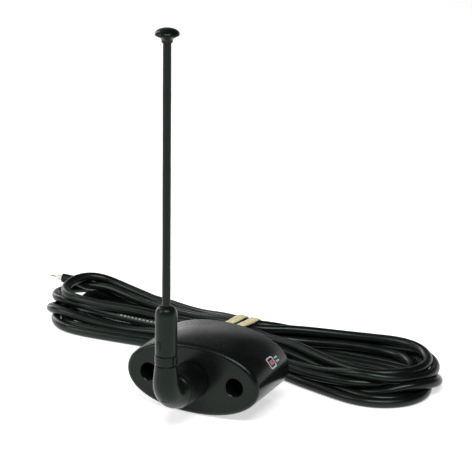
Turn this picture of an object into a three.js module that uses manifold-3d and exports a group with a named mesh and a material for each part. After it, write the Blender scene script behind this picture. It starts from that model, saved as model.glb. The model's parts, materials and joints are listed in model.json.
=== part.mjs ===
// Signal booster antenna for a wall: an oval housing with the amplifier board inside, a swivelling
// elbow, a quarter wave whip, and a coaxial lead tied in a hank. Millimetres, +Z up, face towards -Y.
// Everything is placed from the middle of the housing's face; the last lines stand it on its origin.
import * as THREE from 'three';
import { mergeVertices } from 'three/addons/utils/BufferGeometryUtils.js';
import Module from 'manifold-3d';

const wasm = await Module();
wasm.setup();

// ---------------------------------------------------------------- driving dimensions

const GAP = 0.3; // clearance kept between pieces that touch
const FINE = 28; // facets round a turned piece that shows
const COARSE = 16; // facets round a small or hidden one

const HOUSING = {
  width: 71, height: 36, depth: 36.5, fillet: 2, wall: 2.4, frontWall: 3.2, squareness: 2.12,
};
const PAST = 1; // how far a cutting tool runs past the face that it cuts
const SCREW_HOLE = { x: 23, headRadius: 4.6, headDepth: 30, shankRadius: 2.3, postRadius: 6.5 };
const COVER = { thickness: 3, lip: 1.3, screwZ: 13.3, pillarRadius: 3.1 };
const GASKET = { thickness: 0.8, width: 1.4 };
const COVER_SCREW = { shank: 1.2, head: 2.4, headHeight: 1.6, length: 13, holeFrom: 18 };
const BOARD_SCREW = { shank: 0.9, head: 1.8, headHeight: 1.3, length: 8, holeFrom: 12 };
const BOARD = {
  front: 20, thickness: 1.6, postX: 12.5, postZ: 8.5, postRadius: 2.5, clearance: 0.6,
};
const SHIELD = { x: 8.5, width: 14, depth: 3.6, height: 12, skin: 0.4 };
const CHIPS = {
  amplifier: { width: 4, depth: 0.9, height: 4, x: SHIELD.x - 3.2, z: 0 },
  filter: { width: 3.8, depth: 1.3, height: 3, x: SHIELD.x + 3.2, z: 0 },
  regulator: { width: 5, depth: 1.5, height: 3.2, x: 7, z: -11.5 },
};
const CHOKE = { radius: 2.4, height: 4.2, x: -7, z: 11.4 };
const CAPACITOR = { width: 2, depth: 1.2, height: 1.3 };
const CAPACITOR_PLACES = [[-7, -11.5], [-11.5, 6], [11.5, -4.5]];
const PLUNGER = { pinRadius: 1, barrelRadius: 2, barrelFrom: 17.4 };

const BOSS = {
  front: -16.3, baseRadius: 9.4, mouthRadius: 8.6, spigotRadius: 6, spigotEnd: 8.2, bore: 3.5,
};
const BOSS_NUT = { acrossFlats: 17, back: 7.5 };
const SEAL = { section: 0.6, backRadius: 7.7, frontRadius: 6.5, grooveDepth: 1.7 };
const STUD = { front: -24, radius: 3.2, shoulder: 8.5, threadRadius: 2.8, back: 13.6, channel: 1.3 };
const WASHER = { outer: 5.6, back: 9.3 };
const LOCK_NUT = { acrossFlats: 10, front: 9.6, back: 12.8 };
const FEED = { radius: 0.6, top: 7.9, bend: 3.5, back: 15 };

const WHIP_REACH = 26.5; // from the housing's face to the whip's axis
const ELBOW = { mouthRadius: 8.6, topRadius: 5.35, bendRadius: 9.9, top: 17.4 };
const INSERT = { radius: 2.8, bore: 1.8, bottom: 8.2, top: 17.1 };
const RING = {
  bottom: 17.7, top: 22.4, radius: 5.45, bore: 3, slot: 1.6, slotDeg: 62, chamfer: 0.25,
};
const SLEEVE = { bottom: 22.7, shoulder: 42, top: 46.5, radius: 5.3, neckRadius: 2.7 };
const TAB = { width: 2.2, depth: 1.6, low: 26, high: 30, proud: 0.4, turnDeg: -16 };
const FERRULE = {
  stemRadius: 1.5, stemFoot: 9.5, neckRadius: 2.6, neckFoot: 17.7, flangeRadius: 3.4, flangeFoot: 23,
  flangeTop: 25, cupRadius: 3, cupTop: 34,
};
const ROD = { radius: 2, bottom: 27.3, top: 177.7 };
const KNOB = { neck: 174, under: 177.6, widest: 178.4, top: 181, radius: 5.7, neckRadius: 2.6 };

const CABLE = { radius: 2.45, exitX: -10, dielectric: 1.48, core: 0.45 };
const CRIMP = { radius: 3.7, front: 27.6, back: 30.8 };
const STRIP = { jacketFrom: 26.8, dielectricFrom: 23.9 };
const BOOT = {
  end: 47, flangeRadius: 5.4, flangeThickness: 1.7, baseRadius: 4.6, tipRadius: 3.5, neckRadius: 3.9,
};
const HANK = {
  x: -15.2, y: 86.7, turnDeg: -5.5, waistHalf: 11.5, height: 20.5, waistLow: 2, leanIn: 1.5, ramp: 12,
  pinch: 0.06, spreadOver: 0.45,
};
const LOBES = { left: { length: 121, half: 27.5 }, right: { length: 113, half: 28.5 } };
const BAND = { width: 12, thickness: 1.2, floorGap: 0.2, corner: 5 };

const FLOOR = -HOUSING.height / 2;

// The lead from the boot round to the hank, and the free end where it leaves the hank again.
const LEAD_ROUTE = [
  [-10, 47.3, 0], [-10, 50, -0.1], [-9.4, 54, -1], [-7.2, 58.6, -3], [-3, 62.8, -5.6], [2.6, 65.6, -8.2],
  [9.5, 67.2, -10.8], [17, 67.4, -13], [24, 66.4, -14.6],
];
const TAIL_ROUTE = [
  [-113.2, 113.4, -6.4], [-119.2, 113.4, -6.3], [-127, 113.2, -6], [-134.1, 112.8, -5.6],
];
const TAIL_STRIP = { dielectric: 3.5, core: 4 };

// ---------------------------------------------------------------- solids, cuts and joins

function solidOf(geometry) {
  const bare = geometry.clone();
  bare.deleteAttribute('normal');
  bare.deleteAttribute('uv');
  const merged = mergeVertices(bare, 1e-4);
  const corners = merged.index.array;
  const kept = [];
  for (let i = 0; i < corners.length; i += 3) {
    const [a, b, c] = [corners[i], corners[i + 1], corners[i + 2]];
    if (a !== b && b !== c && c !== a) kept.push(a, b, c);
  }
  const vertProperties = Float32Array.from(merged.attributes.position.array);
  const triVerts = Uint32Array.from(kept);
  return new wasm.Manifold(new wasm.Mesh({ numProp: 3, vertProperties, triVerts }));
}

function geometryOf(solid) {
  const mesh = solid.getMesh();
  const geometry = new THREE.BufferGeometry();
  const points = Float32Array.from(mesh.vertProperties);
  geometry.setAttribute('position', new THREE.BufferAttribute(points, 3));
  geometry.setIndex(new THREE.BufferAttribute(Uint32Array.from(mesh.triVerts), 1));
  return geometry;
}

function cut(base, ...tools) {
  return geometryOf(tools.reduce((solid, tool) => solid.subtract(solidOf(tool)), solidOf(base)));
}

function join(base, ...others) {
  return geometryOf(others.reduce((solid, other) => solid.add(solidOf(other)), solidOf(base)));
}

function overlap(one, other) {
  return geometryOf(solidOf(one).intersect(solidOf(other)));
}

// ---------------------------------------------------------------- shapes and simple solids

const vectors = (points) => points.map(([x, y]) => new THREE.Vector2(x, y));

// The housing's outline, pulled in by an inset: an ellipse with slightly fuller shoulders.
function ovalShape(inset, points = 60) {
  const halfWidth = HOUSING.width / 2 - inset;
  const halfHeight = HOUSING.height / 2 - inset;
  const power = 2 / HOUSING.squareness;
  const outline = [];
  for (let i = 0; i < points; i += 1) {
    const angle = (2 * Math.PI * i) / points;
    const x = Math.sign(Math.cos(angle)) * Math.abs(Math.cos(angle)) ** power;
    const z = Math.sign(Math.sin(angle)) * Math.abs(Math.sin(angle)) ** power;
    outline.push([halfWidth * x, halfHeight * z]);
  }
  return new THREE.Shape(vectors(outline));
}

// A shape drawn in X and Z, pushed along Y from one depth to another.
function slab(shape, from, to) {
  const geometry = new THREE.ExtrudeGeometry(shape, { depth: to - from, bevelEnabled: false });
  return geometry.rotateX(Math.PI / 2).translate(0, to, 0);
}

// A profile of [radius, y] points, anticlockwise, turned about the Y axis.
function turnedY(profile, x = 0, z = 0, facets = COARSE) {
  return new THREE.LatheGeometry(vectors(profile), facets).translate(x, 0, z);
}

// The same with [radius, z] points, turned about the whip's own upright axis.
function turnedWhip(profile, facets = FINE) {
  const upright = new THREE.LatheGeometry(vectors(profile), facets).rotateX(Math.PI / 2);
  return upright.translate(0, -WHIP_REACH, 0);
}

const rodY = (radius, from, to, x = 0, z = 0, facets = COARSE) =>
  turnedY([[0, from], [radius, from], [radius, to], [0, to]], x, z, facets);

const tubeY = (inner, outer, from, to, x = 0, z = 0, facets = COARSE) =>
  turnedY([[inner, from], [outer, from], [outer, to], [inner, to], [inner, from]], x, z, facets);

const block = (width, depth, height, x, y, z) =>
  new THREE.BoxGeometry(width, depth, height).translate(x, y, z);

function hexNut(acrossFlats, bore, from, to) {
  const corner = acrossFlats / Math.sqrt(3);
  const shape = new THREE.Shape();
  for (let i = 0; i < 6; i += 1) {
    const angle = (Math.PI / 3) * i;
    shape[i ? 'lineTo' : 'moveTo'](corner * Math.cos(angle), corner * Math.sin(angle));
  }
  return cut(slab(shape, from, to), rodY(bore, from - 1, to + 1));
}

function sealRing(radius, y) {
  const ring = new THREE.TorusGeometry(radius, SEAL.section, 6, FINE);
  return ring.rotateX(Math.PI / 2).translate(0, y, 0);
}

// A round bar of even radius along a curve.
function barAlong(curve, radius, steps, sides = 10) {
  const section = new THREE.Shape();
  for (let i = 0; i < sides; i += 1) {
    const angle = (2 * Math.PI * i) / sides;
    section[i ? 'lineTo' : 'moveTo'](radius * Math.cos(angle), radius * Math.sin(angle));
  }
  return new THREE.ExtrudeGeometry(section, { steps, extrudePath: curve, bevelEnabled: false });
}

const curveThrough = (points) => new THREE.CatmullRomCurve3(points.map((p) => new THREE.Vector3(...p)));

// ---------------------------------------------------------------- housing and cover

const SCREW_SIDES = [-1, 1];
const COVER_BACK = HOUSING.depth;
const COVER_FRONT = COVER_BACK - COVER.thickness;
const LEDGE = COVER_FRONT - GASKET.thickness - 2 * GAP;

function housingShell() {
  const { depth, fillet, wall, frontWall } = HOUSING;
  const bevel = {
    depth, bevelThickness: fillet, bevelSize: fillet, bevelOffset: -fillet, bevelSegments: 3,
  };
  const blank = new THREE.ExtrudeGeometry(ovalShape(0), bevel);
  blank.rotateX(Math.PI / 2).translate(0, depth + fillet, 0);
  const behind = block(2 * HOUSING.width, depth, 2 * HOUSING.height, 0, 1.5 * depth, 0);
  const hollow = slab(ovalShape(wall), frontWall, depth + PAST);
  const coverSeat = slab(ovalShape(COVER.lip), LEDGE, depth + PAST);
  const root = frontWall / 2;
  const posts = SCREW_SIDES.map((side) =>
    rodY(SCREW_HOLE.postRadius, root, COVER_FRONT - GAP, side * SCREW_HOLE.x, 0, FINE));
  const pillars = SCREW_SIDES.map((side) =>
    rodY(COVER.pillarRadius, root, LEDGE, 0, side * COVER.screwZ));
  const boardPosts = SCREW_SIDES.map((side) =>
    rodY(BOARD.postRadius, root, BOARD.front - GAP, side * BOARD.postX, side * BOARD.postZ));
  const holes = SCREW_SIDES.flatMap((side) => [
    rodY(SCREW_HOLE.headRadius, -PAST, SCREW_HOLE.headDepth, side * SCREW_HOLE.x, 0, FINE),
    rodY(SCREW_HOLE.shankRadius, 0, depth, side * SCREW_HOLE.x, 0),
    rodY(COVER_SCREW.shank + GAP, COVER_SCREW.holeFrom, depth, 0, side * COVER.screwZ),
    rodY(BOARD_SCREW.shank + GAP, BOARD_SCREW.holeFrom, BOARD.front, side * BOARD.postX,
      side * BOARD.postZ),
  ]);
  const spigotHole = rodY(BOSS.spigotRadius + GAP, -PAST, frontWall + PAST);
  const body = cut(blank, behind, hollow, coverSeat);
  return cut(join(body, ...posts, ...pillars, ...boardPosts), ...holes, spigotHole);
}

function backCover() {
  const plate = slab(ovalShape(COVER.lip + GAP), COVER_FRONT, COVER_BACK);
  const from = COVER_FRONT - PAST;
  const to = COVER_BACK + PAST;
  const headSeat = COVER_BACK - COVER_SCREW.headHeight - 2 * GAP;
  const holes = SCREW_SIDES.flatMap((side) => [
    rodY(SCREW_HOLE.shankRadius, from, to, side * SCREW_HOLE.x, 0),
    rodY(COVER_SCREW.shank + GAP, from, to, 0, side * COVER.screwZ),
    rodY(COVER_SCREW.head + GAP, headSeat, to, 0, side * COVER.screwZ),
  ]);
  return cut(plate, ...holes, rodY(BOOT.neckRadius + GAP, from, to, CABLE.exitX, 0));
}

function coverGasket() {
  const outside = slab(ovalShape(COVER.lip + GAP), LEDGE + GAP, LEDGE + GAP + GASKET.thickness);
  return cut(outside, slab(ovalShape(COVER.lip + GAP + GASKET.width), LEDGE - PAST, COVER_BACK));
}

// A cross-head screw whose head's flat side is at the given depth, pointing to -Y.
function screw({ shank, head, headHeight, length }, headTop, x, z) {
  const seat = headTop - headHeight;
  const tip = seat - length;
  const point = 2 * shank;
  const slotDepth = 0.75 * headHeight;
  const profile = [
    [0, tip], [shank * 0.6, tip + point / 2], [shank, tip + point], [shank, seat], [head, seat],
    [head, headTop], [0, headTop],
  ];
  const slots = [0, Math.PI / 2].map((turn) =>
    block(head * 1.3, slotDepth, head * 0.28, 0, headTop, 0).rotateY(turn).translate(x, 0, z));
  return cut(turnedY(profile, x, z), ...slots);
}

// ---------------------------------------------------------------- amplifier board

const BOARD_BACK = BOARD.front + BOARD.thickness;

function circuitBoard() {
  const clear = BOARD.clearance;
  const from = BOARD.front - PAST;
  const to = BOARD_BACK + PAST;
  const notches = SCREW_SIDES.flatMap((side) => [
    rodY(SCREW_HOLE.postRadius + clear, from, to, side * SCREW_HOLE.x, 0, FINE),
    rodY(COVER.pillarRadius + clear, from, to, 0, side * COVER.screwZ),
    rodY(BOARD_SCREW.shank + GAP, from, to, side * BOARD.postX, side * BOARD.postZ),
  ]);
  return cut(slab(ovalShape(HOUSING.wall + clear), BOARD.front, BOARD_BACK), ...notches);
}

function shieldCan() {
  const { x, width, depth, height, skin } = SHIELD;
  const y = BOARD_BACK + GAP + depth / 2;
  const can = block(width, depth, height, x, y, 0);
  return cut(can, block(width - 2 * skin, depth, height - 2 * skin, x, y - skin, 0));
}

const behindBoard = ({ width, depth, height, x, z }) =>
  block(width, depth, height, x, BOARD_BACK + GAP + depth / 2, z);
const aheadOfBoard = ({ width, depth, height, x, z }) =>
  block(width, depth, height, x, BOARD.front - GAP - depth / 2, z);

// ---------------------------------------------------------------- swivel between housing and elbow

function swivelBoss() {
  const { front, baseRadius, mouthRadius, spigotRadius, spigotEnd, bore } = BOSS;
  const groove = SEAL.section + GAP;
  const chamfer = 0.4;
  const { backRadius, frontRadius, grooveDepth } = SEAL;
  return turnedY([
    [bore, front], [frontRadius - groove, front], [frontRadius - groove, front + grooveDepth],
    [frontRadius + groove, front + grooveDepth], [frontRadius + groove, front],
    [mouthRadius - chamfer, front], [mouthRadius, front + chamfer], [baseRadius, -1],
    [baseRadius, -GAP], [backRadius + groove, -GAP], [backRadius + groove, -GAP - grooveDepth],
    [backRadius - groove, -GAP - grooveDepth], [backRadius - groove, -GAP], [spigotRadius, -GAP],
    [spigotRadius, spigotEnd], [bore, spigotEnd], [bore, front],
  ], 0, 0, FINE);
}

function pivotStud() {
  const { front, radius, shoulder, threadRadius, back, channel } = STUD;
  return turnedY([
    [channel, front], [radius, front], [radius, shoulder - GAP], [threadRadius, shoulder - GAP],
    [threadRadius, back], [channel, back], [channel, front],
  ]);
}

// The wire down the elbow: from the whip's threaded insert, round the bend and out through the stud.
function feedConductor() {
  const path = new THREE.CurvePath();
  const down = new THREE.Vector3(0, -WHIP_REACH, FEED.top);
  const corner = new THREE.Vector3(0, -WHIP_REACH, FEED.bend);
  const turn = new THREE.Vector3(0, -WHIP_REACH, 0);
  const level = new THREE.Vector3(0, -WHIP_REACH + FEED.bend, 0);
  path.add(new THREE.LineCurve3(down, corner));
  path.add(new THREE.QuadraticBezierCurve3(corner, turn, level));
  path.add(new THREE.LineCurve3(level, new THREE.Vector3(0, FEED.back, 0)));
  return barAlong(path, FEED.radius, 24, 8);
}

// ---------------------------------------------------------------- elbow

// The elbow's centre line: out of the mouth, round a quarter turn, and up to the ring.
const ELBOW_LEVEL = WHIP_REACH + BOSS.front - GAP - ELBOW.bendRadius;
const ELBOW_ARC = (Math.PI / 2) * ELBOW.bendRadius;
const ELBOW_LENGTH = ELBOW_LEVEL + ELBOW_ARC + (ELBOW.top - ELBOW.bendRadius);

function elbowFrame(along) {
  const mouth = BOSS.front - GAP;
  const turned = Math.min(Math.max((along - ELBOW_LEVEL) / ELBOW.bendRadius, 0), Math.PI / 2);
  const rise = Math.max(along - ELBOW_LEVEL - ELBOW_ARC, 0);
  const level = Math.min(along, ELBOW_LEVEL);
  const forward = new THREE.Vector3(0, -Math.cos(turned), Math.sin(turned));
  const inward = new THREE.Vector3(0, Math.sin(turned), Math.cos(turned));
  const point = new THREE.Vector3(0, mouth - level, ELBOW.bendRadius);
  point.addScaledVector(inward, -ELBOW.bendRadius).addScaledVector(forward, rise);
  return { point, inward };
}

// Its radius, from the wide mouth to the slim neck, with a small rounded lip at the mouth.
function elbowRadius(along) {
  const part = along / ELBOW_LENGTH;
  const ease = part * part * (3 - 2 * part);
  const blend = 0.65 * part + 0.35 * ease;
  return ELBOW.mouthRadius + (ELBOW.topRadius - ELBOW.mouthRadius) * blend;
}

function elbow() {
  const steps = 14;
  const lip = 0.35;
  const profile = [[0, 0], [ELBOW.mouthRadius - lip, 0]];
  for (let i = 0; i <= steps; i += 1) {
    const along = lip + ((ELBOW_LENGTH - lip) * i) / steps;
    profile.push([elbowRadius(along), along]);
  }
  profile.push([0, ELBOW_LENGTH]);
  const bent = new THREE.LatheGeometry(vectors(profile), FINE);
  const corners = bent.attributes.position;
  for (let i = 0; i < corners.count; i += 1) {
    const { point, inward } = elbowFrame(corners.getY(i));
    point.addScaledVector(inward, corners.getX(i)).x += corners.getZ(i);
    corners.setXYZ(i, point.x, point.y, point.z);
  }
  const studBore = rodY(STUD.radius + GAP, -WHIP_REACH - 0.5, BOSS.front + PAST);
  const bore = INSERT.radius + GAP;
  const above = ELBOW.top + PAST;
  const insertBore = turnedWhip([[0, -1], [bore, -1], [bore, above], [0, above]], COARSE);
  return cut(bent, studBore, insertBore);
}

// ---------------------------------------------------------------- whip

function lockRing() {
  const { bottom, top, radius, bore, slot, slotDeg, chamfer } = RING;
  const ring = turnedWhip([
    [bore, bottom], [radius - chamfer, bottom], [radius, bottom + chamfer], [radius, top - chamfer],
    [radius - chamfer, top], [bore, top], [bore, bottom],
  ]);
  const notch = block(slot, slot, top - bottom + 2 * PAST, 0, -radius, (top + bottom) / 2);
  const turned = notch.rotateZ(THREE.MathUtils.degToRad(slotDeg)).translate(0, -WHIP_REACH, 0);
  return cut(ring, turned);
}

function whipSleeve() {
  const { bottom, shoulder, top, radius, neckRadius } = SLEEVE;
  const flangeBore = FERRULE.flangeRadius + GAP;
  const flangeRoof = FERRULE.flangeTop + GAP;
  const edge = 0.2;
  const profile = [[flangeBore, bottom], [radius - edge, bottom], [radius, bottom + edge]];
  const domeSteps = 6;
  for (let i = 0; i <= domeSteps; i += 1) {
    const angle = ((Math.PI / 2) * i) / domeSteps;
    const r = neckRadius + (radius - neckRadius) * Math.cos(angle);
    profile.push([r, shoulder + (top - shoulder) * Math.sin(angle)]);
  }
  const cupBore = FERRULE.cupRadius + GAP;
  profile.push([ROD.radius + GAP, top], [ROD.radius + GAP, FERRULE.cupTop + GAP]);
  profile.push([cupBore, FERRULE.cupTop + GAP], [cupBore, flangeRoof], [flangeBore, flangeRoof]);
  profile.push([flangeBore, bottom]);
  const height = TAB.high - TAB.low;
  const tab = block(TAB.width, TAB.depth, height, 0, -radius + TAB.depth / 2 - TAB.proud,
    TAB.low + height / 2);
  tab.rotateZ(THREE.MathUtils.degToRad(TAB.turnDeg)).translate(0, -WHIP_REACH, 0);
  return join(turnedWhip(profile), tab);
}

function whipFerrule() {
  const { stemRadius, stemFoot, neckRadius, neckFoot, flangeRadius, flangeFoot } = FERRULE;
  const { flangeTop, cupRadius, cupTop } = FERRULE;
  const rodBore = ROD.radius + GAP;
  const cupFloor = ROD.bottom - GAP;
  return turnedWhip([
    [0, stemFoot], [stemRadius, stemFoot], [stemRadius, neckFoot], [neckRadius, neckFoot],
    [neckRadius, flangeFoot], [flangeRadius, flangeFoot], [flangeRadius, flangeTop],
    [cupRadius, flangeTop], [cupRadius, cupTop], [rodBore, cupTop], [rodBore, cupFloor],
    [0, cupFloor],
  ], COARSE);
}

function tipKnob() {
  const { neck, under, widest, top, radius, neckRadius } = KNOB;
  const bore = ROD.radius + GAP;
  const profile = [
    [bore, neck], [neckRadius, neck], [neckRadius + 0.15, neck + 0.8], [radius - 0.7, under],
    [radius, widest - 0.3],
  ];
  const domeSteps = 6;
  for (let i = 0; i <= domeSteps; i += 1) {
    const angle = ((Math.PI / 2) * i) / domeSteps;
    profile.push([radius * Math.cos(angle), widest + (top - widest) * Math.sin(angle)]);
  }
  profile.push([0, ROD.top + GAP], [bore, ROD.top + GAP], [bore, neck]);
  return turnedWhip(profile);
}

// ---------------------------------------------------------------- cable and hank

function cableBoot() {
  const { end, flangeRadius, flangeThickness, baseRadius, tipRadius, neckRadius } = BOOT;
  const bore = CABLE.radius + GAP;
  const inside = COVER_FRONT - GAP;
  const outside = COVER_BACK + GAP;
  const foot = inside - flangeThickness;
  const shoulder = outside + flangeThickness;
  return turnedY([
    [bore, foot], [flangeRadius, foot], [flangeRadius, inside], [neckRadius, inside],
    [neckRadius, outside], [flangeRadius, outside], [flangeRadius, shoulder],
    [baseRadius, shoulder + GAP], [tipRadius, end - GAP], [tipRadius - GAP, end], [bore, end],
    [bore, foot],
  ], CABLE.exitX, 0, FINE);
}

// Half the hank's width at a distance along it, measured from the tie: two long loops pinched together.
function hankHalfWidth(along) {
  const lobe = along < 0 ? LOBES.left : LOBES.right;
  const part = Math.min(Math.abs(along) / lobe.length, 1);
  const spread = Math.min(Math.max((part - HANK.pinch) / HANK.spreadOver, 0), 1);
  const swell = spread * spread * (3 - 2 * spread);
  const full = HANK.waistHalf + (lobe.half - HANK.waistHalf) * swell;
  const toEnd = lobe.length * (1 - part);
  const rounding = Math.min(toEnd / lobe.half, 1);
  return full * Math.sqrt(1 - (1 - rounding) ** 2);
}

function hankPlan() {
  const { left, right } = LOBES;
  const front = [];
  const steps = 32;
  for (let i = 0; i <= steps; i += 1) {
    const sweep = 0.5 - 0.5 * Math.cos((Math.PI * i) / steps);
    const along = -left.length + (left.length + right.length) * sweep;
    front.push([along, -hankHalfWidth(along)]);
  }
  const back = front.slice(1, -1).reverse().map(([along, across]) => [along, -across]);
  return new THREE.Shape(vectors([...front, ...back]));
}

// Seen from the side the hank is a flat bar, lifted a little where the tie passes under it.
function hankSide() {
  const { height, waistLow, leanIn, ramp } = HANK;
  const start = -LOBES.left.length - PAST;
  const end = LOBES.right.length + PAST;
  const reach = BAND.width / 2 + 2;
  const top = height - leanIn;
  return new THREE.Shape(vectors([
    [start, 0], [-reach - ramp, 0], [-reach, waistLow], [reach, waistLow], [reach + ramp, 0], [end, 0],
    [end, height], [reach + ramp, height], [reach, top], [-reach, top], [-reach - ramp, height],
    [start, height],
  ]));
}

const placeHank = (geometry) =>
  geometry.rotateZ(THREE.MathUtils.degToRad(HANK.turnDeg)).translate(HANK.x, HANK.y, FLOOR);

function roundedLoop(halfWidth, low, high, corner) {
  const shape = new THREE.Shape();
  shape.absarc(halfWidth - corner, low + corner, corner, -Math.PI / 2, 0);
  shape.absarc(halfWidth - corner, high - corner, corner, 0, Math.PI / 2);
  shape.absarc(-halfWidth + corner, high - corner, corner, Math.PI / 2, Math.PI);
  shape.absarc(-halfWidth + corner, low + corner, corner, Math.PI, 1.5 * Math.PI);
  shape.closePath();
  return shape;
}

// A loop's outline, drawn across the hank, pushed along it for the given length about the tie.
function acrossHank(shape, length) {
  const options = { depth: length, bevelEnabled: false, curveSegments: 6 };
  const geometry = new THREE.ExtrudeGeometry(shape, options);
  return geometry.rotateX(Math.PI / 2).rotateZ(Math.PI / 2).translate(-length / 2, 0, 0);
}

// The bundle's section under the tie; the band's inside is the same loop, one gap further out.
function tieLoop(grow) {
  const { thickness, floorGap, corner } = BAND;
  const low = floorGap + thickness + GAP - grow;
  return roundedLoop(HANK.waistHalf + grow, low, HANK.height - HANK.leanIn + grow, corner + grow);
}

function cableHank() {
  const plan = new THREE.ExtrudeGeometry(hankPlan(), { depth: HANK.height + PAST, bevelEnabled: false });
  const reach = BAND.width + 2 * GAP;
  const wide = 2 * LOBES.right.half + 2 * PAST;
  const outsideTie = block(reach, wide, wide, 0, 0, 0);
  const aroundTie = cut(outsideTie, acrossHank(tieLoop(0), reach + 2 * PAST));
  const body = cut(overlap(plan, slab(hankSide(), -wide / 2, wide / 2)), aroundTie);
  const groove = CABLE.radius + GAP + 0.1;
  const grooves = [LEAD_ROUTE, TAIL_ROUTE].map((route) =>
    barAlong(curveThrough(route), groove, 2 * route.length, 12));
  return cut(placeHank(body), ...grooves);
}

function rubberBand() {
  const loop = tieLoop(GAP + BAND.thickness);
  loop.holes.push(tieLoop(GAP));
  return placeHank(acrossHank(loop, BAND.width));
}

// The stripped end: dielectric, then bare core, carrying on along the tail's last direction.
const TAIL_END = new THREE.Vector3(...TAIL_ROUTE.at(-1));
const TAIL_AIM = TAIL_END.clone().sub(new THREE.Vector3(...TAIL_ROUTE.at(-2))).normalize();

function tailPiece(radius, from, to) {
  const start = TAIL_END.clone().addScaledVector(TAIL_AIM, from);
  const end = TAIL_END.clone().addScaledVector(TAIL_AIM, to);
  return barAlong(new THREE.LineCurve3(start, end), radius, 1, 10);
}

// ---------------------------------------------------------------- the assembly

const FINISH = {
  abs: { color: 0x2b2e2d, roughness: 0.42, metalness: 0 },
  boss: { color: 0x17191a, roughness: 0.6, metalness: 0 },
  whipPlastic: { color: 0x242826, roughness: 0.38, metalness: 0 },
  coatedRod: { color: 0x1a1c1c, roughness: 0.34, metalness: 0.1 },
  rubber: { color: 0x151616, roughness: 0.75, metalness: 0 },
  pvc: { color: 0x1c1e1e, roughness: 0.45, metalness: 0 },
  latex: { color: 0xe2d9a6, roughness: 0.6, metalness: 0 },
  brass: { color: 0xb59a55, roughness: 0.35, metalness: 1 },
  steel: { color: 0xa9abad, roughness: 0.35, metalness: 1 },
  tinned: { color: 0xc3c5c6, roughness: 0.4, metalness: 1 },
  board: { color: 0x1f5a38, roughness: 0.5, metalness: 0 },
  chip: { color: 0x202124, roughness: 0.55, metalness: 0 },
  ceramic: { color: 0xa58b68, roughness: 0.5, metalness: 0 },
  polythene: { color: 0xe9e6da, roughness: 0.5, metalness: 0 },
  copper: { color: 0xb5713f, roughness: 0.3, metalness: 1 },
};

const model = new THREE.Group();
const cordGroup = new THREE.Group();
model.add(cordGroup);

function place(name, geometry, finish, group = model) {
  const mesh = new THREE.Mesh(geometry, new THREE.MeshStandardMaterial(FINISH[finish]));
  mesh.name = name;
  group.add(mesh);
}

place('housing_shell', housingShell(), 'abs');
place('back_cover', backCover(), 'abs');
place('cover_gasket', coverGasket(), 'rubber');
place('cover_screw_top', screw(COVER_SCREW, COVER_BACK - GAP, 0, COVER.screwZ), 'steel');
place('cover_screw_bottom', screw(COVER_SCREW, COVER_BACK - GAP, 0, -COVER.screwZ), 'steel');

place('circuit_board', circuitBoard(), 'board');
const boardHeadTop = BOARD_BACK + GAP + BOARD_SCREW.headHeight;
SCREW_SIDES.forEach((side, i) => {
  const fastener = screw(BOARD_SCREW, boardHeadTop, side * BOARD.postX, side * BOARD.postZ);
  place(`board_screw_${i + 1}`, fastener, 'steel');
});
place('rf_shield_can', shieldCan(), 'tinned');
place('amplifier_chip', behindBoard(CHIPS.amplifier), 'chip');
place('bandpass_filter', behindBoard(CHIPS.filter), 'ceramic');
place('regulator_chip', aheadOfBoard(CHIPS.regulator), 'chip');
const chokeFront = BOARD.front - GAP - CHOKE.height;
place('supply_choke', rodY(CHOKE.radius, chokeFront, BOARD.front - GAP, CHOKE.x, CHOKE.z), 'chip');
CAPACITOR_PLACES.forEach(([x, z], i) =>
  place(`chip_capacitor_${i + 1}`, aheadOfBoard({ ...CAPACITOR, x, z }), 'ceramic'));
const { pinRadius, barrelRadius, barrelFrom } = PLUNGER;
place('contact_plunger', turnedY([
  [0, FEED.back + GAP], [pinRadius, FEED.back + GAP], [pinRadius, barrelFrom],
  [barrelRadius, barrelFrom], [barrelRadius, BOARD.front - GAP], [0, BOARD.front - GAP],
]), 'brass');

place('swivel_boss', swivelBoss(), 'boss');
const nutFront = HOUSING.frontWall + GAP;
const spigotBore = BOSS.spigotRadius + GAP;
place('boss_nut', hexNut(BOSS_NUT.acrossFlats, spigotBore, nutFront, BOSS_NUT.back), 'brass');
const sealSunk = 0.1 + SEAL.section;
place('boss_seal', sealRing(SEAL.backRadius, -GAP - sealSunk), 'rubber');
place('swivel_seal', sealRing(SEAL.frontRadius, BOSS.front + sealSunk), 'rubber');

place('elbow', elbow(), 'whipPlastic');
place('pivot_stud', pivotStud(), 'brass');
const threadBore = STUD.threadRadius + GAP;
place('wave_washer', tubeY(threadBore, WASHER.outer, STUD.shoulder, WASHER.back), 'steel');
place('lock_nut', hexNut(LOCK_NUT.acrossFlats, threadBore, LOCK_NUT.front, LOCK_NUT.back), 'brass');
place('feed_conductor', feedConductor(), 'copper');
place('threaded_insert', turnedWhip([
  [INSERT.bore, INSERT.bottom], [INSERT.radius, INSERT.bottom], [INSERT.radius, INSERT.top],
  [INSERT.bore, INSERT.top], [INSERT.bore, INSERT.bottom],
], COARSE), 'brass');
place('lock_ring', lockRing(), 'whipPlastic');

place('whip_sleeve', whipSleeve(), 'whipPlastic');
place('whip_ferrule', whipFerrule(), 'brass');
place('whip_rod', turnedWhip([
  [0, ROD.bottom], [ROD.radius, ROD.bottom], [ROD.radius, ROD.top], [0, ROD.top],
]), 'coatedRod');
place('tip_knob', tipKnob(), 'whipPlastic');

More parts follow.
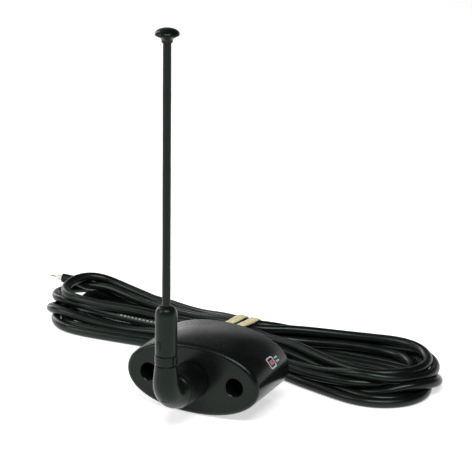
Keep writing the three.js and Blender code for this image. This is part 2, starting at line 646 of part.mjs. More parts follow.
const { jacketFrom, dielectricFrom } = STRIP;
place('inner_coax', rodY(CABLE.radius, jacketFrom, BOOT.end, CABLE.exitX), 'pvc');
const dielectricTo = jacketFrom - GAP;
place('inner_dielectric', rodY(CABLE.dielectric, dielectricFrom, dielectricTo, CABLE.exitX), 'polythene');
place('inner_core', rodY(CABLE.core, BOARD_BACK + GAP, dielectricFrom - GAP, CABLE.exitX), 'copper');
const jacketBore = CABLE.radius + GAP;
place('crimp_ring', tubeY(jacketBore, CRIMP.radius, CRIMP.front, CRIMP.back, CABLE.exitX), 'brass');

place('cable_boot', cableBoot(), 'rubber', cordGroup);
place('cable_lead', barAlong(curveThrough(LEAD_ROUTE), CABLE.radius, 16), 'pvc', cordGroup);
place('cable_hank', cableHank(), 'pvc', cordGroup);
place('rubber_band', rubberBand(), 'latex', cordGroup);
place('cable_tail', barAlong(curveThrough(TAIL_ROUTE), CABLE.radius, 4), 'pvc', cordGroup);
const coreFrom = TAIL_STRIP.dielectric + GAP;
const coreTo = TAIL_STRIP.dielectric + TAIL_STRIP.core;
place('tail_dielectric', tailPiece(CABLE.dielectric, GAP, TAIL_STRIP.dielectric), 'polythene', cordGroup);
place('tail_core', tailPiece(CABLE.core, coreFrom, coreTo), 'copper', cordGroup);

// The origin is under the middle of housing and whip together, on the surface that they stand on.
model.remove(cordGroup);
const extent = new THREE.Box3().setFromObject(model);
model.add(cordGroup);
const middle = extent.getCenter(new THREE.Vector3());
model.position.set(-middle.x, -middle.y, -extent.min.z);

export default model;
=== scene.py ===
# %% [markdown]
# # A signal booster antenna, piece by piece
# The object stands on a pale floor: an oval plastic housing, a swivelling elbow that carries a
# whip, and a long coaxial lead that is folded into a hank and held by a rubber band. The CAD model
# is loaded first as a fixed frame. It says where everything is, so each visible piece below is
# built at its place from the frame's own boxes, in metres, and nothing is fitted by eye.

# %% The frame and the tools
import json
import math

import bmesh
import bpy
import numpy as np
from mathutils import Matrix, Quaternion, Vector


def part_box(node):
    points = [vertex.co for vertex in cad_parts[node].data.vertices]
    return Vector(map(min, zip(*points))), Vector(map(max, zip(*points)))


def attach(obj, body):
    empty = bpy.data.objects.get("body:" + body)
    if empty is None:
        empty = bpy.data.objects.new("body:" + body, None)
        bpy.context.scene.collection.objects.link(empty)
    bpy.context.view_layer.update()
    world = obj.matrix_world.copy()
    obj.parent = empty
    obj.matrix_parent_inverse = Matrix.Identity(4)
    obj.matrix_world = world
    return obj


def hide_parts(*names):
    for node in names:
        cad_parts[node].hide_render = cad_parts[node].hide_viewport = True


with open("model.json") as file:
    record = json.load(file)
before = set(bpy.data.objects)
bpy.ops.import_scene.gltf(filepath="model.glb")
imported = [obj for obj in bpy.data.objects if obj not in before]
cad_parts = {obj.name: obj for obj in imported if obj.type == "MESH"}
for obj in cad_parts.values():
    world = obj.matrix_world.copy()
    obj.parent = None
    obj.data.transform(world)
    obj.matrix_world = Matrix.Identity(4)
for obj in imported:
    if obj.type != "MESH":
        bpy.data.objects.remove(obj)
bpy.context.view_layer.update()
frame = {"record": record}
MM = 0.001

# %% [markdown]
# ## Places
# All sizes below are in millimetres from the middle of the housing's face, X to the right, Y into
# the wall and Z up, because a maker would measure the thing like that. One function turns such a
# place into the frame's metres. The housing's box gives the face and its middle.

# %% Places in millimetres
HOUSE_LOW, HOUSE_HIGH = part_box("housing_shell")
FACE = HOUSE_LOW[1]
MIDDLE = (HOUSE_LOW[2] + HOUSE_HIGH[2]) / 2
WIDTH, DEPTH, HEIGHT = [(HOUSE_HIGH[k] - HOUSE_LOW[k]) / MM for k in range(3)]
FLOOR = -HEIGHT / 2


def place(x, y, z):
    return Vector((x * MM, FACE + y * MM, MIDDLE + z * MM))


def span(node):
    low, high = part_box(node)
    shift = (0, FACE, MIDDLE)
    return [[(corner[k] - shift[k]) / MM for k in range(3)] for corner in (low, high)]


print(f"housing {WIDTH:.1f} x {DEPTH:.1f} x {HEIGHT:.1f} mm, floor at {FLOOR:.1f} mm")

# %% [markdown]
# ## The camera
# A long lens from 1.2 m keeps the perspective mild, as in a product shot. It looks from the right
# front and a little above, and it is rolled by less than a degree.

# %% Camera
AZIMUTH, ELEVATION, ROLL = math.radians(25.4), math.radians(18.54), math.radians(0.71)
DISTANCE, LENS, SENSOR = 1.2, 194.9, 36
AIM = place(23.08, 0, 81.25)
towards_camera = Vector((
    math.sin(AZIMUTH) * math.cos(ELEVATION),
    -math.cos(AZIMUTH) * math.cos(ELEVATION),
    math.sin(ELEVATION),
))
camera = bpy.data.objects.new("camera", bpy.data.cameras.new("camera"))
bpy.context.scene.collection.objects.link(camera)
camera.data.lens, camera.data.sensor_width = LENS, SENSOR
camera.data.clip_start, camera.data.clip_end = 0.05, 20
camera.location = AIM + towards_camera * DISTANCE
camera.rotation_mode = "QUATERNION"
level = (-towards_camera).to_track_quat("-Z", "Y")
camera.rotation_quaternion = Quaternion(towards_camera, ROLL) @ level
bpy.context.scene.camera = camera
print("camera at", [round(c, 3) for c in camera.location])

# %% [markdown]
# ## Two small helpers for meshes
# A piece is a plain mesh object at the origin, unturned and unscaled, with its place in its mesh.
# Its faces are smooth except across sharp edges, so that small fillets shine and corners stay crisp.

# %% Mesh helpers
CREASE = math.radians(38)


def new_piece(name, points, faces, body, crease=CREASE):
    mesh = bpy.data.meshes.new(name)
    mesh.from_pydata([tuple(p) for p in points], [], faces)
    mesh.validate()
    mesh.shade_smooth()
    mesh.set_sharp_from_angle(angle=crease)
    piece = bpy.data.objects.new(name, mesh)
    bpy.context.scene.collection.objects.link(piece)
    if body:
        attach(piece, body)
    return piece


def skin(rows, closed=True):
    """Faces between rings of equally many points, each ring listed anticlockwise from the far end."""
    count = len(rows[0])
    points = [p for ring in rows for p in ring]
    faces = []
    for r in range(len(rows) - 1):
        for k in range(count):
            a, b = r * count + k, r * count + (k + 1) % count
            faces.append((a, b, b + count, a + count))
    if closed:
        faces.append(tuple(range(count))[::-1])
        faces.append(tuple(len(points) - count + k for k in range(count)))
    return points, faces


def outwards(piece):
    work = bmesh.new()
    work.from_mesh(piece.data)
    bmesh.ops.remove_doubles(work, verts=work.verts, dist=1e-7)
    bmesh.ops.recalc_face_normals(work, faces=work.faces)
    work.to_mesh(piece.data)
    work.free()
    piece.data.set_sharp_from_angle(angle=CREASE)
    return piece


def count_of(piece):
    triangles = sum(len(p.vertices) - 2 for p in piece.data.polygons)
    print(f"{piece.name}: {triangles} triangles")


# %% [markdown]
# ## The cable's facts
# The lead is 50 ohm coaxial cable, 4.9 mm over its black PVC jacket. It leaves the cover through a
# short rubber boot, turns to the right and joins the hank, whose seven turns hold the rest. The
# far end is bare: a few millimetres of the inner insulation and the core show. The first and the
# last stretch are the same listed points that the CAD model uses.

# %% Lead, tail and tie
CABLE = 4.9
RADIUS = CABLE / 2
LEAD = [
    (-10, 47.3, 0), (-10, 50, -0.1), (-9.4, 54, -1), (-7.2, 58.6, -3),
    (-3, 62.8, -5.6), (2.6, 65.6, -8.2), (9.5, 67.2, -10.8), (17, 67.4, -13), (24, 66.4, -14.6),
]
TIE_AT, TURNED = (-15.2, 86.7), math.radians(-5.5)
TIE_HALF, TIE_LOW, TIE_HIGH = 11.5, 1.7, 22.0
TIE_REACH = 7


def from_hank(along, across, above):
    c, s = math.cos(TURNED), math.sin(TURNED)
    x = TIE_AT[0] + c * along - s * across
    y = TIE_AT[1] + s * along + c * across
    return place(x, y, FLOOR + above)


def into_hank(x, y, z):
    c, s = math.cos(TURNED), math.sin(TURNED)
    x, y = x - TIE_AT[0], y - TIE_AT[1]
    return (c * x + s * y, -s * x + c * y, z - FLOOR)


print("the lead joins the hank at", [round(v, 1) for v in into_hank(*LEAD[-1])])

# %% [markdown]
# ## Winding the hank
# The cable was wound over a hand and pinched in the middle, so each turn is two long loops. They
# are about four cables high and two wide. Each loop is given by three places in the hank's own
# frame, in millimetres along and across it: where the front strand is furthest out, the loop's
# tip, and where the rear strand is furthest out, with its height. No two loops are alike, because
# a hand never winds them alike. Inside the tie each strand has its own slot.

# %% Loops and slots
LAYER = (2.45, 7.6, 12.9, 18.2)
RIGHT_LOOPS = [
    ((85, -27), (109.5, -3), (84, 20), LAYER[0]),
    ((82, -21), (101, -3), (81, 15.5), LAYER[0]),
    ((86, -20), (109, 2), (85, 24.5), LAYER[1]),
    ((75, -22), (100, 3), (74, 29), LAYER[1] + 0.6),
    ((84, -21.5), (107.5, 2), (84, 24), LAYER[2]),
    ((75, -14), (96, 7), (74, 27), LAYER[2] + 0.6),
    ((80, -19), (104.5, 4), (78, 29), LAYER[3]),
]
LEFT_LOOPS = [
    ((-88, -25), (-109.5, -7), (-87, 14), LAYER[0]),
    ((-85, -19), (-101, -4), (-84, 11), LAYER[0]),
    ((-93, -16), (-110.5, 1), (-90, 19), LAYER[1]),
    ((-84, -9), (-102, 7), (-85, 23.5), LAYER[1] + 0.8),
    ((-103, -6), (-119, 8), (-104, 21.5), LAYER[2] - 1.5),
    ((-94, -7.5), (-112, 9), (-95, 25.5), LAYER[3]),
]
FREE_END = [
    (-20, 7, 18.6), (-50, 13, 17), (-76, 17.2, 14.8), (-95, 17.5, 12.6),
    (-106.1, 16.6, 11.7), (-113.8, 15.7, 12), (-120.9, 14.6, 12.4),
]
STEP_UP = (TIE_HIGH - TIE_LOW - CABLE) / 3
SLOT_Z = [TIE_LOW + RADIUS + STEP_UP * k for k in range(4)]
REAR_SLOTS = [(8.6, 0), (3.6, 0), (8.6, 1), (3.6, 1), (8.6, 2), (3.6, 2), (6.0, 3)]
FRONT_SLOTS = [(-8.6, 0), (-3.6, 0), (-8.6, 1), (-3.6, 1), (-8.6, 2), (-3.6, 2)]
ARM_OUT, ARM_CLIMB = (0.30, 0.62), (0.35, 0.85)
FRONT_OPENING, REAR_OPENING = (0.36, 0.74), (0.47, 0.83)
LEAD_SLOT, LEAD_JOINS = (-9, 0), (56, -21, 2.6)


def arm(shoulder, level, slot, side, opening):
    """From a slot in the tie out to a shoulder; the opening says how soon the strand swings out."""
    along, across = shoulder
    start, low = slot[0], SLOT_Z[slot[1]]
    midway = [(out * along, start + swing * (across - start), low + climb * (level - low))
              for out, swing, climb in zip(ARM_OUT, opening, ARM_CLIMB)]
    return [(TIE_REACH * side, start, low), *midway, (along, across, level)]


def loop(front, tip, rear, level, front_slot, rear_slot, side):
    points = arm(front, level, front_slot, side, FRONT_OPENING)
    for shoulder, angles in ((front, (30, 60, 90)), (rear, (60, 30))):
        for angle in map(math.radians, angles):
            along = shoulder[0] + (tip[0] - shoulder[0]) * math.sin(angle)
            across = tip[1] + (shoulder[1] - tip[1]) * math.cos(angle)
            points.append((along, across, level))
    return points + arm(rear, level, rear_slot, side, REAR_OPENING)[::-1]


def wound():
    route = [into_hank(*p) for p in LEAD]
    for turn, right in enumerate(RIGHT_LOOPS):
        came_from = FRONT_SLOTS[turn - 1] if turn else LEAD_SLOT
        points = loop(*right, came_from, REAR_SLOTS[turn], 1)
        route += points if turn else [LEAD_JOINS] + points[3:]
        if turn < len(LEFT_LOOPS):
            left = loop(*LEFT_LOOPS[turn], FRONT_SLOTS[turn], REAR_SLOTS[turn], -1)
            route += left[::-1]
    return route + FREE_END


print("the winding is drawn through", len(wound()), "points")

# %% [markdown]
# ## A smooth line through the points
# A Catmull-Rom curve passes through every point, and its centripetal form makes no cusps where
# points lie close together. It is then cut into even steps, because the next cell pushes on each
# step with the same weight.

# %% Curve through points
STRIDE = 3.0


def smooth_line(points, pieces=12):
    p = np.asarray(points, float)
    p = np.vstack([2 * p[0] - p[1], p, 2 * p[-1] - p[-2]])
    line = []
    for i in range(1, len(p) - 2):
        a, b, c, d = p[i - 1], p[i], p[i + 1], p[i + 2]
        ta = 0.0
        tb = ta + np.linalg.norm(b - a) ** 0.5
        tc = tb + np.linalg.norm(c - b) ** 0.5
        td = tc + np.linalg.norm(d - c) ** 0.5
        for t in np.linspace(tb, tc, pieces, endpoint=False):
            ab = (tb - t) / (tb - ta) * a + (t - ta) / (tb - ta) * b
            bc = (tc - t) / (tc - tb) * b + (t - tb) / (tc - tb) * c
            cd = (td - t) / (td - tc) * c + (t - tc) / (td - tc) * d
            abc = (tc - t) / (tc - ta) * ab + (t - ta) / (tc - ta) * bc
            bcd = (td - t) / (td - tb) * bc + (t - tb) / (td - tb) * cd
            line.append((tc - t) / (tc - tb) * abc + (t - tb) / (tc - tb) * bcd)
    return np.array(line + [p[-2]])


def even_steps(line, stride):
    line = np.asarray(line, float)
    gone = np.r_[0, np.cumsum(np.linalg.norm(np.diff(line, axis=0), axis=1))]
    marks = np.linspace(0, gone[-1], int(round(gone[-1] / stride)) + 1)
    return np.stack([np.interp(marks, gone, line[:, k]) for k in range(3)], -1)


drawn = even_steps(smooth_line(wound()), STRIDE)
print(f"{len(drawn)} steps of {STRIDE} mm, {len(drawn) * STRIDE / 1000:.2f} m of cable")

# %% [markdown]
# ## Letting the hank settle
# The drawn strands still run through each other. Cable is stiff, so it can't be pushed at one
# point alone: every push is spread along the strand before it is applied, first over a long
# stretch and later over a short one, which gives long low humps where strands cross. Strands push
# each other apart until they lie a diameter apart, a small weight draws them down, the floor
# holds them up and the tie keeps them together. There is nothing random in it.

# %% Settling
NEIGHBOURS, RECOUNT = 8, 8
SLACK, MOST_PUSH = 1.02, 0.8
TIE_WITHIN = 15
HELD_START, EASED_START, HELD_END, EASED_END = 4, 18, 3, 13


def spread(field, width):
    reach = int(3 * width)
    bell = np.exp(-0.5 * (np.arange(-reach, reach + 1) / width) ** 2)
    bell /= bell.sum()
    padded = np.pad(field, ((reach, reach), (0, 0)), mode="edge")
    return np.stack([np.convolve(padded[:, k], bell, "valid") for k in range(3)], -1)


def settle(line, drawn, free, rounds, width, gain, weight, home, fair):
    index = np.arange(len(line))
    under_tie = np.abs(drawn[:, 1]) < TIE_WITHIN
    for turn in range(rounds):
        if turn % RECOUNT == 0:
            apart = ((line[:, None, :] - line[None, :, :]) ** 2).sum(-1)
            far = index[None, :] - index[:, None] > NEIGHBOURS
            one, two = np.nonzero((apart < (2 * CABLE) ** 2) & far)
        across = line[one] - line[two]
        distance = np.linalg.norm(across, axis=1) + 1e-9
        lack = np.maximum(CABLE * SLACK - distance, 0)
        force = across * (0.5 * lack / distance)[:, None]
        touch = np.bincount(np.r_[one[lack > 0], two[lack > 0]], minlength=len(line))
        push = np.zeros_like(line)
        np.add.at(push, one, force)
        np.add.at(push, two, -force)
        push /= np.maximum(np.sqrt(touch), 1)[:, None]
        push[:, 2] -= weight
        goal = line + push
        push[:, 2] += np.maximum(RADIUS - goal[:, 2], 0)
        tied = (np.abs(line[:, 0]) < TIE_REACH) & under_tie
        inside = np.clip(goal[tied, 1], RADIUS - TIE_HALF, TIE_HALF - RADIUS)
        push[tied, 1] += inside - goal[tied, 1]
        inside = np.clip(goal[tied, 2], TIE_LOW + RADIUS, TIE_HIGH - RADIUS)
        push[tied, 2] += inside - goal[tied, 2]
        push += home * (drawn - line)
        size = np.linalg.norm(push, axis=1, keepdims=True)
        push *= np.minimum(1, MOST_PUSH / np.maximum(size, 1e-9))
        line = line + spread(push, width) * gain * free
        strayed = line - drawn
        line = line + fair * (spread(strayed, width) - strayed) * free
    return line


def closest(line):
    index = np.arange(len(line))
    apart = np.sqrt(((line[:, None, :] - line[None, :, :]) ** 2).sum(-1))
    apart[np.abs(index[:, None] - index[None, :]) <= NEIGHBOURS] = 99
    return apart.min()


free = np.ones((len(drawn), 1))
free[:HELD_START, 0] = 0
free[HELD_START:HELD_START + EASED_START, 0] = np.linspace(0, 1, EASED_START)
free[-HELD_END:, 0] = 0
free[-HELD_END - EASED_END:-HELD_END, 0] = np.linspace(1, 0, EASED_END)
strand = drawn
for rounds, width, gain, weight, home, fair in (
    (300, 12, 1.5, 0.03, 0.004, 0.10),
    (300, 8, 1.3, 0.03, 0.003, 0.10),
    (500, 5, 1.3, 0.02, 0.001, 0.06),
    (300, 3, 1.2, 0.01, 0.0, 0.02),
):
    strand = settle(strand, drawn, free, rounds, width, gain, weight, home, fair)
    print(f"spread over {width * STRIDE:.0f} mm: closest strands {closest(strand):.2f} mm apart")
strand[:, 2] = np.maximum(strand[:, 2], RADIUS)

# %% [markdown]
# ## The cable as a round tube
# The settled line is drawn once more as a smooth curve with closer steps, and a ring of sixteen
# points is carried along it. Each ring takes the last one's direction and turns it as little as it
# can, so the tube doesn't twist. Its UV map gives the distance along the cable in metres and the
# way round it, from 0 to 1, which is what the print on the jacket is placed by.

# %% Tube along a line
def carried_frames(line):
    line = [Vector(p) for p in line]
    aims = [(line[min(i + 1, len(line) - 1)] - line[max(i - 1, 0)]).normalized()
            for i in range(len(line))]
    side = aims[0].orthogonal().normalized()
    frames = []
    for i, aim in enumerate(aims):
        side = (side - aim * side.dot(aim)).normalized()
        frames.append((line[i], aim, side, aim.cross(side)))
    return frames


def tube(name, line, radius, body, sides=16):
    frames = carried_frames(line)
    angles = [2 * math.pi * k / sides for k in range(sides)]
    rings = [[at + (side * math.cos(a) + up * math.sin(a)) * radius for a in angles]
             for at, aim, side, up in frames]
    piece = new_piece(name, *skin(rings), body)
    gone = [0.0]
    for i in range(1, len(frames)):
        gone.append(gone[-1] + (frames[i][0] - frames[i - 1][0]).length)
    layer = piece.data.uv_layers.new(name="along_cable")
    for face in piece.data.polygons:
        corners = list(face.vertices)
        wraps = len(corners) == 4 and {v % sides for v in corners} == {0, sides - 1}
        for loop_index, v in zip(face.loop_indices, corners):
            ring, k = divmod(v, sides)
            layer.data[loop_index].uv = (gone[ring], (sides if wraps and k == 0 else k) / sides)
    return piece, gone[-1]


settled = [from_hank(*p) for p in even_steps(smooth_line(strand, 4), 2.2)]
settled[0] = place(LEAD[0][0], span("cable_boot")[1][1] + 0.05, 0)
cable, cable_length = tube("coax_cable", settled, RADIUS * MM, "base")
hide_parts("cable_lead", "cable_hank", "cable_tail")
print(f"the cable is {cable_length:.3f} m long")
count_of(cable)

# %% [markdown]
# ## The cable's other pieces
# The boot and the rubber band are made further down and take these nodes' places; the stripped
# end stays as the CAD model has it.


# %% [markdown]
# ## Nodes and colours
# Every finish below is a small tree of nodes. One helper adds a node with its settings and links
# its inputs. Colours are written as they look on a screen, and one function turns them to the
# linear values that the shader wants. Patterns are placed by object coordinates, which are metres
# here, so a scale of 1 / size gives a pattern of that size.

# %% Material helpers
def linear(hex_colour):
    values = [int(hex_colour[k:k + 2], 16) / 255 for k in (1, 3, 5)]
    return [v / 12.92 if v <= 0.04045 else ((v + 0.055) / 1.055) ** 2.4 for v in values] + [1.0]


def add(tree, kind, inputs=None, **settings):
    node = tree.nodes.new(kind)
    for name, value in settings.items():
        setattr(node, name, value)
    for key, value in (inputs or {}).items():
        if isinstance(value, bpy.types.NodeSocket):
            tree.links.new(value, node.inputs[key])
        else:
            node.inputs[key].default_value = value
    return node


def maths(tree, operation, one, two):
    return add(tree, "ShaderNodeMath", {0: one, 1: two}, operation=operation).outputs[0]


def noise(tree, where, size, detail, roughness):
    """A cloudy pattern whose patches are about the given size in millimetres."""
    return add(tree, "ShaderNodeTexNoise", {
        "Vector": where, "Scale": 1 / (size * MM), "Detail": detail, "Roughness": roughness,
    }).outputs["Fac"]


def between(tree, value, from_low, from_high, to_low, to_high):
    return add(tree, "ShaderNodeMapRange", {
        "Value": value, "From Min": from_low, "From Max": from_high, "To Min": to_low,
        "To Max": to_high}).outputs["Result"]


def finish_off(tree, shader, colour, gloss, grain, depth):
    """Joins a colour, a gloss and a bump of the given depth in millimetres to the shader."""
    bump = add(tree, "ShaderNodeBump", {"Height": grain, "Distance": depth * MM})
    tree.links.new(colour, shader.inputs["Base Color"])
    tree.links.new(gloss, shader.inputs["Roughness"])
    tree.links.new(bump.outputs["Normal"], shader.inputs["Normal"])


def blank(name, metallic=0.0, ior=1.5, specular=0.5):
    material = bpy.data.materials.new(name)
    material.use_nodes = True
    tree = material.node_tree
    shader = tree.nodes["Principled BSDF"]
    shader.inputs["Metallic"].default_value = metallic
    if not metallic:
        shader.inputs["IOR"].default_value = ior
    shader.inputs["Specular IOR Level"].default_value = specular
    if specular < 0.5:
        shader.inputs["Specular Tint"].default_value = linear("#e6fdee")
    where = add(tree, "ShaderNodeTexCoord").outputs["Object"]
    return material, tree, shader, where


def ramp(tree, factor, stops):
    node = add(tree, "ShaderNodeValToRGB", {"Fac": factor})
    elements = node.color_ramp.elements
    while len(elements) < len(stops):
        elements.new(0.5)
    for element, (at, colour) in zip(elements, stops):
        element.position, element.color = at, linear(colour)
    return node.outputs["Color"]


def moulded(name, low, high, rough, grain, depth, patch=14.0, metallic=0.0, specular=0.5):
    """A speckled finish: broad patches of tone, a fine grain and a gloss that wanders a little."""
    material, tree, shader, where = blank(name, metallic, specular=specular)
    broad = noise(tree, where, patch, 3.0, 0.55)
    fine = noise(tree, where, grain, 2.0, 0.6)
    colour = ramp(tree, maths(tree, "MULTIPLY", broad, fine), [(0.12, low), (0.42, high)])
    gloss = between(tree, broad, 0.3, 0.7, *rough)
    finish_off(tree, shader, colour, gloss, fine, depth)
    return material


print("black is", [round(v, 4) for v in linear("#1e2020")[:3]])

# %% [markdown]
# ## Plastics and rubbers
# The housing is injection-moulded ABS from a spark-eroded tool, which leaves a fine grain and a
# satin gloss. The boss is glass-filled nylon and duller; its darker black is painted shade, for
# the shade that the elbow casts on it. Elbow, ring and sleeve are a smoother polypropylene, and the
# whip is a steel rod in a thin PVC coat. The boot is soft rubber with almost no gloss. Real grain
# is 0.1 mm; it is drawn at 0.35 mm, as fine as the view can show.

# %% Plastic and rubber finishes
HOUSING_ABS = moulded("satin_black_abs", "#0a0c0b", "#111413", (0.20, 0.30), 0.35, 0.006,
                      specular=0.22)
COVER_ABS = moulded("textured_black_abs", "#111313", "#191b1b", (0.42, 0.55), 0.45, 0.020)
# The boss's darker base colour is painted shade: it stands in for the shade the elbow casts on it.
# Its dull gloss is its own.
BOSS_SHADED_NYLON = moulded("nylon_with_painted_shade", "#060707", "#0b0c0c", (0.42, 0.54), 0.40, 0.012,
                     specular=0.2)
WHIP_PLASTIC = moulded("smooth_polypropylene", "#0a0e0c", "#101512", (0.22, 0.32), 0.50, 0.005,
                       specular=0.2)
ROD_COAT = moulded("pvc_dipped_rod", "#090b0a", "#0f1211", (0.25, 0.36), 0.60, 0.006, patch=9,
                   specular=0.2)
BOOT_RUBBER = moulded("soft_boot_rubber", "#0e0f0f", "#161717", (0.60, 0.75), 0.30, 0.020)
SEAL_RUBBER = moulded("nitrile_seal_rubber", "#111212", "#191a1a", (0.55, 0.70), 0.25, 0.010)

# %% [markdown]
# ## Metals and board parts
# Turned brass shows fine rings, plated steel has a bright zinc sheen with cloudy patches, the
# shield can is tinned sheet and the core is drawn copper. The board is glass-fibre laminate under
# green solder mask. Chips are dull epoxy and the ceramic filter and capacitors are a warm tan.

# %% Metal and board finishes
BRASS = moulded("turned_brass", "#a8894a", "#d0b06a", (0.26, 0.40), 0.25, 0.008, metallic=1.0)
STEEL = moulded("zinc_plated_steel", "#9fa3a6", "#c6c9cb", (0.24, 0.42), 0.30, 0.006, metallic=1.0)
TINNED = moulded("tinned_sheet", "#b4b7b8", "#d4d6d6", (0.30, 0.45), 0.50, 0.008, metallic=1.0)
COPPER = moulded("drawn_copper", "#b06a3c", "#d8915f", (0.20, 0.34), 0.20, 0.004, metallic=1.0)
EPOXY = moulded("chip_epoxy", "#17181a", "#242528", (0.50, 0.62), 0.20, 0.010)
CERAMIC = moulded("tan_ceramic", "#8f7656", "#b99d78", (0.45, 0.60), 0.20, 0.008)
POLYTHENE = moulded("foamed_polythene", "#dcd8c8", "#f2efe4", (0.45, 0.58), 0.25, 0.010)


WEAVE_PITCH = 0.8


def laminate():
    material, tree, shader, where = blank("green_board_laminate", ior=1.55)
    weave, cross = [
        add(tree, "ShaderNodeTexWave", {"Vector": where, "Scale": 1 / (WEAVE_PITCH * MM) / 6.3},
            bands_direction=way) for way in "XZ"]
    both = maths(tree, "MULTIPLY", weave.outputs["Fac"], cross.outputs["Fac"])
    tree.links.new(ramp(tree, both, [(0.0, "#174a2b"), (1.0, "#236b40")]),
                   shader.inputs["Base Color"])
    shader.inputs["Roughness"].default_value = 0.42
    return material


BOARD_GREEN = laminate()

# %% [markdown]
# ## Cable jacket and its print
# The jacket is extruded PVC: smooth along its length, with very faint drawing lines and dull
# patches where it was handled. A cable maker prints a line of small pale marks along it. Here the
# marks are plain dashes in groups, placed by the tube's own UV map: the distance along the cable
# gives the dash and the group, and the way round keeps them to a strip a millimetre wide.

# %% Cable finish
PRINT_SPAN = (2.346, 2.372)
PRINT_SIDE, PRINT_HALF_WIDTH = 0.13, 0.026
DASH_PITCH, DASH_SHARE = 2.4, 0.62


def jacket(name, print_from, print_to):
    material, tree, shader, where = blank(name, ior=1.52, specular=0.32)
    broad = noise(tree, where, 22, 3.0, 0.6)
    fine = noise(tree, where, 0.7, 2.0, 0.5)
    black = ramp(tree, broad, [(0.3, "#070908"), (0.7, "#0e110f")])
    uv = add(tree, "ShaderNodeUVMap", uv_map="along_cable").outputs["UV"]
    axes = add(tree, "ShaderNodeSeparateXYZ", {"Vector": uv})
    along, around = axes.outputs["X"], axes.outputs["Y"]
    step = maths(tree, "MULTIPLY", along, 1 / (DASH_PITCH * MM))
    dash = add(tree, "ShaderNodeMath", {0: step}, operation="FRACT").outputs[0]
    off_line = maths(tree, "SUBTRACT", around, PRINT_SIDE)
    off_line = add(tree, "ShaderNodeMath", {0: off_line}, operation="ABSOLUTE").outputs[0]
    mask = maths(tree, "LESS_THAN", dash, DASH_SHARE)
    for other in (maths(tree, "GREATER_THAN", along, print_from),
                  maths(tree, "LESS_THAN", along, print_to),
                  maths(tree, "LESS_THAN", off_line, PRINT_HALF_WIDTH), fine):
        mask = maths(tree, "MULTIPLY", mask, other)
    colour = add(tree, "ShaderNodeMix", {"Factor": mask, "A": black, "B": linear("#c9cbc6")},
                 data_type="RGBA").outputs["Result"]
    finish_off(tree, shader, colour, between(tree, broad, 0.3, 0.7, 0.27, 0.38), fine, 0.008)
    return material


cable.data.materials.append(jacket("extruded_pvc_jacket", *PRINT_SPAN))

# %% [markdown]
# ## Turned pieces
# Ring, sleeve, knob, boss and rod were all moulded or turned round an axis, so a profile of
# radius and height says all about them. Corners in the profile are rounded by small arcs before
# it is turned, because no moulded corner is sharp, and the arcs are what catches the light.

# %% Profiles turned round an axis
TURNED_SIDES = 96


def round_corner(before, corner, after, radius, steps=4):
    a = (Vector(before) - Vector(corner)).to_2d()
    b = (Vector(after) - Vector(corner)).to_2d()
    reach = min(radius, 0.45 * a.length, 0.45 * b.length)
    start, end = Vector(corner) + a.normalized() * reach, Vector(corner) + b.normalized() * reach
    points = []
    for k in range(steps + 1):
        t = k / steps
        points.append((1 - t) ** 2 * start + 2 * t * (1 - t) * Vector(corner) + t ** 2 * end)
    return points


def softened(profile, radius):
    """The profile with each inner corner rounded; a third number overrides the radius there."""
    flat = [Vector(p[:2]) for p in profile]
    line = [flat[0]]
    for i in range(1, len(flat) - 1):
        here = profile[i][2] if len(profile[i]) > 2 else radius
        if here:
            line += round_corner(flat[i - 1], flat[i], flat[i + 1], here)
        else:
            line.append(flat[i])
    return line + [flat[-1]]


def turned(name, profile, body, axis="Z", at=(0, 0, 0), sides=TURNED_SIDES, soften=0.12,
           finish=None, shape=None):
    """A closed piece from a [radius, height] profile that ends on the axis or on itself."""
    line = softened(profile, soften)
    rings = []
    for radius, height in line:
        radius = max(radius, 1e-4)
        ring = []
        for k in range(sides):
            angle = 2 * math.pi * k / sides
            r = radius + (shape(angle, radius, height) if shape else 0)
            if axis == "Z":
                p = (r * math.cos(angle), r * math.sin(angle), height)
            else:
                p = (r * math.cos(angle), height, -r * math.sin(angle))
            ring.append(place(at[0] + p[0], at[1] + p[1], at[2] + p[2]))
        rings.append(ring)
    hollow = (Vector(profile[0][:2]) - Vector(profile[-1][:2])).length < 1e-6 and profile[0][0] > 0
    points, faces = skin(rings, closed=not hollow)
    piece = outwards(new_piece(name, points, faces, body))
    if finish:
        piece.data.materials.append(finish)
    return piece


ROD_START, ROD_END = span("whip_rod")
WHIP = (ROD_START[1] + ROD_END[1]) / 2
print(f"the whip stands {-WHIP:.1f} mm in front of the face")

# %% [markdown]
# ## The housing
# One moulding: an oval block with slightly fuller shoulders than an ellipse, a 2 mm fillet round
# its face, two deep screw holes and a hollow for the board. It could be made by hand with a
# bevelled curve, but the outline follows a rule, so sections of that rule are stacked along Y and
# skinned. The hollow and the holes are then cut out with Boolean modifiers, whose results are
# kept as plain mesh. Each hole's mouth has a small chamfer, which is what shows it from afar.

# %% Oval sections and cuts
OVAL_POWER = 2 / 2.12
OVAL_POINTS = 180
FILLET, EDGE = 2.6, 0.35
SCREW_X, HEAD_R, HEAD_DEPTH, SHANK_R, POST_R = 23, 4.6, 30, 2.3, 6.5
LIP, COVER_THICK, WALL, FRONT_WALL = 1.3, 3.0, 2.4, 3.2
COVER_SCREW_Z, PILLAR_R = 13.3, 3.1
COVER_Y = DEPTH - COVER_THICK


def oval(inset, y, points=OVAL_POINTS):
    ring = []
    for k in range(points):
        angle = 2 * math.pi * k / points
        c, s = math.cos(angle), math.sin(angle)
        x = (WIDTH / 2 - inset) * math.copysign(abs(c) ** OVAL_POWER, c)
        z = (HEIGHT / 2 - inset) * math.copysign(abs(s) ** OVAL_POWER, s)
        ring.append(place(x, y, z))
    return ring[::-1]


def oval_block(name, sections, body=None):
    return outwards(new_piece(name, *skin([oval(inset, y) for inset, y in sections]), body))


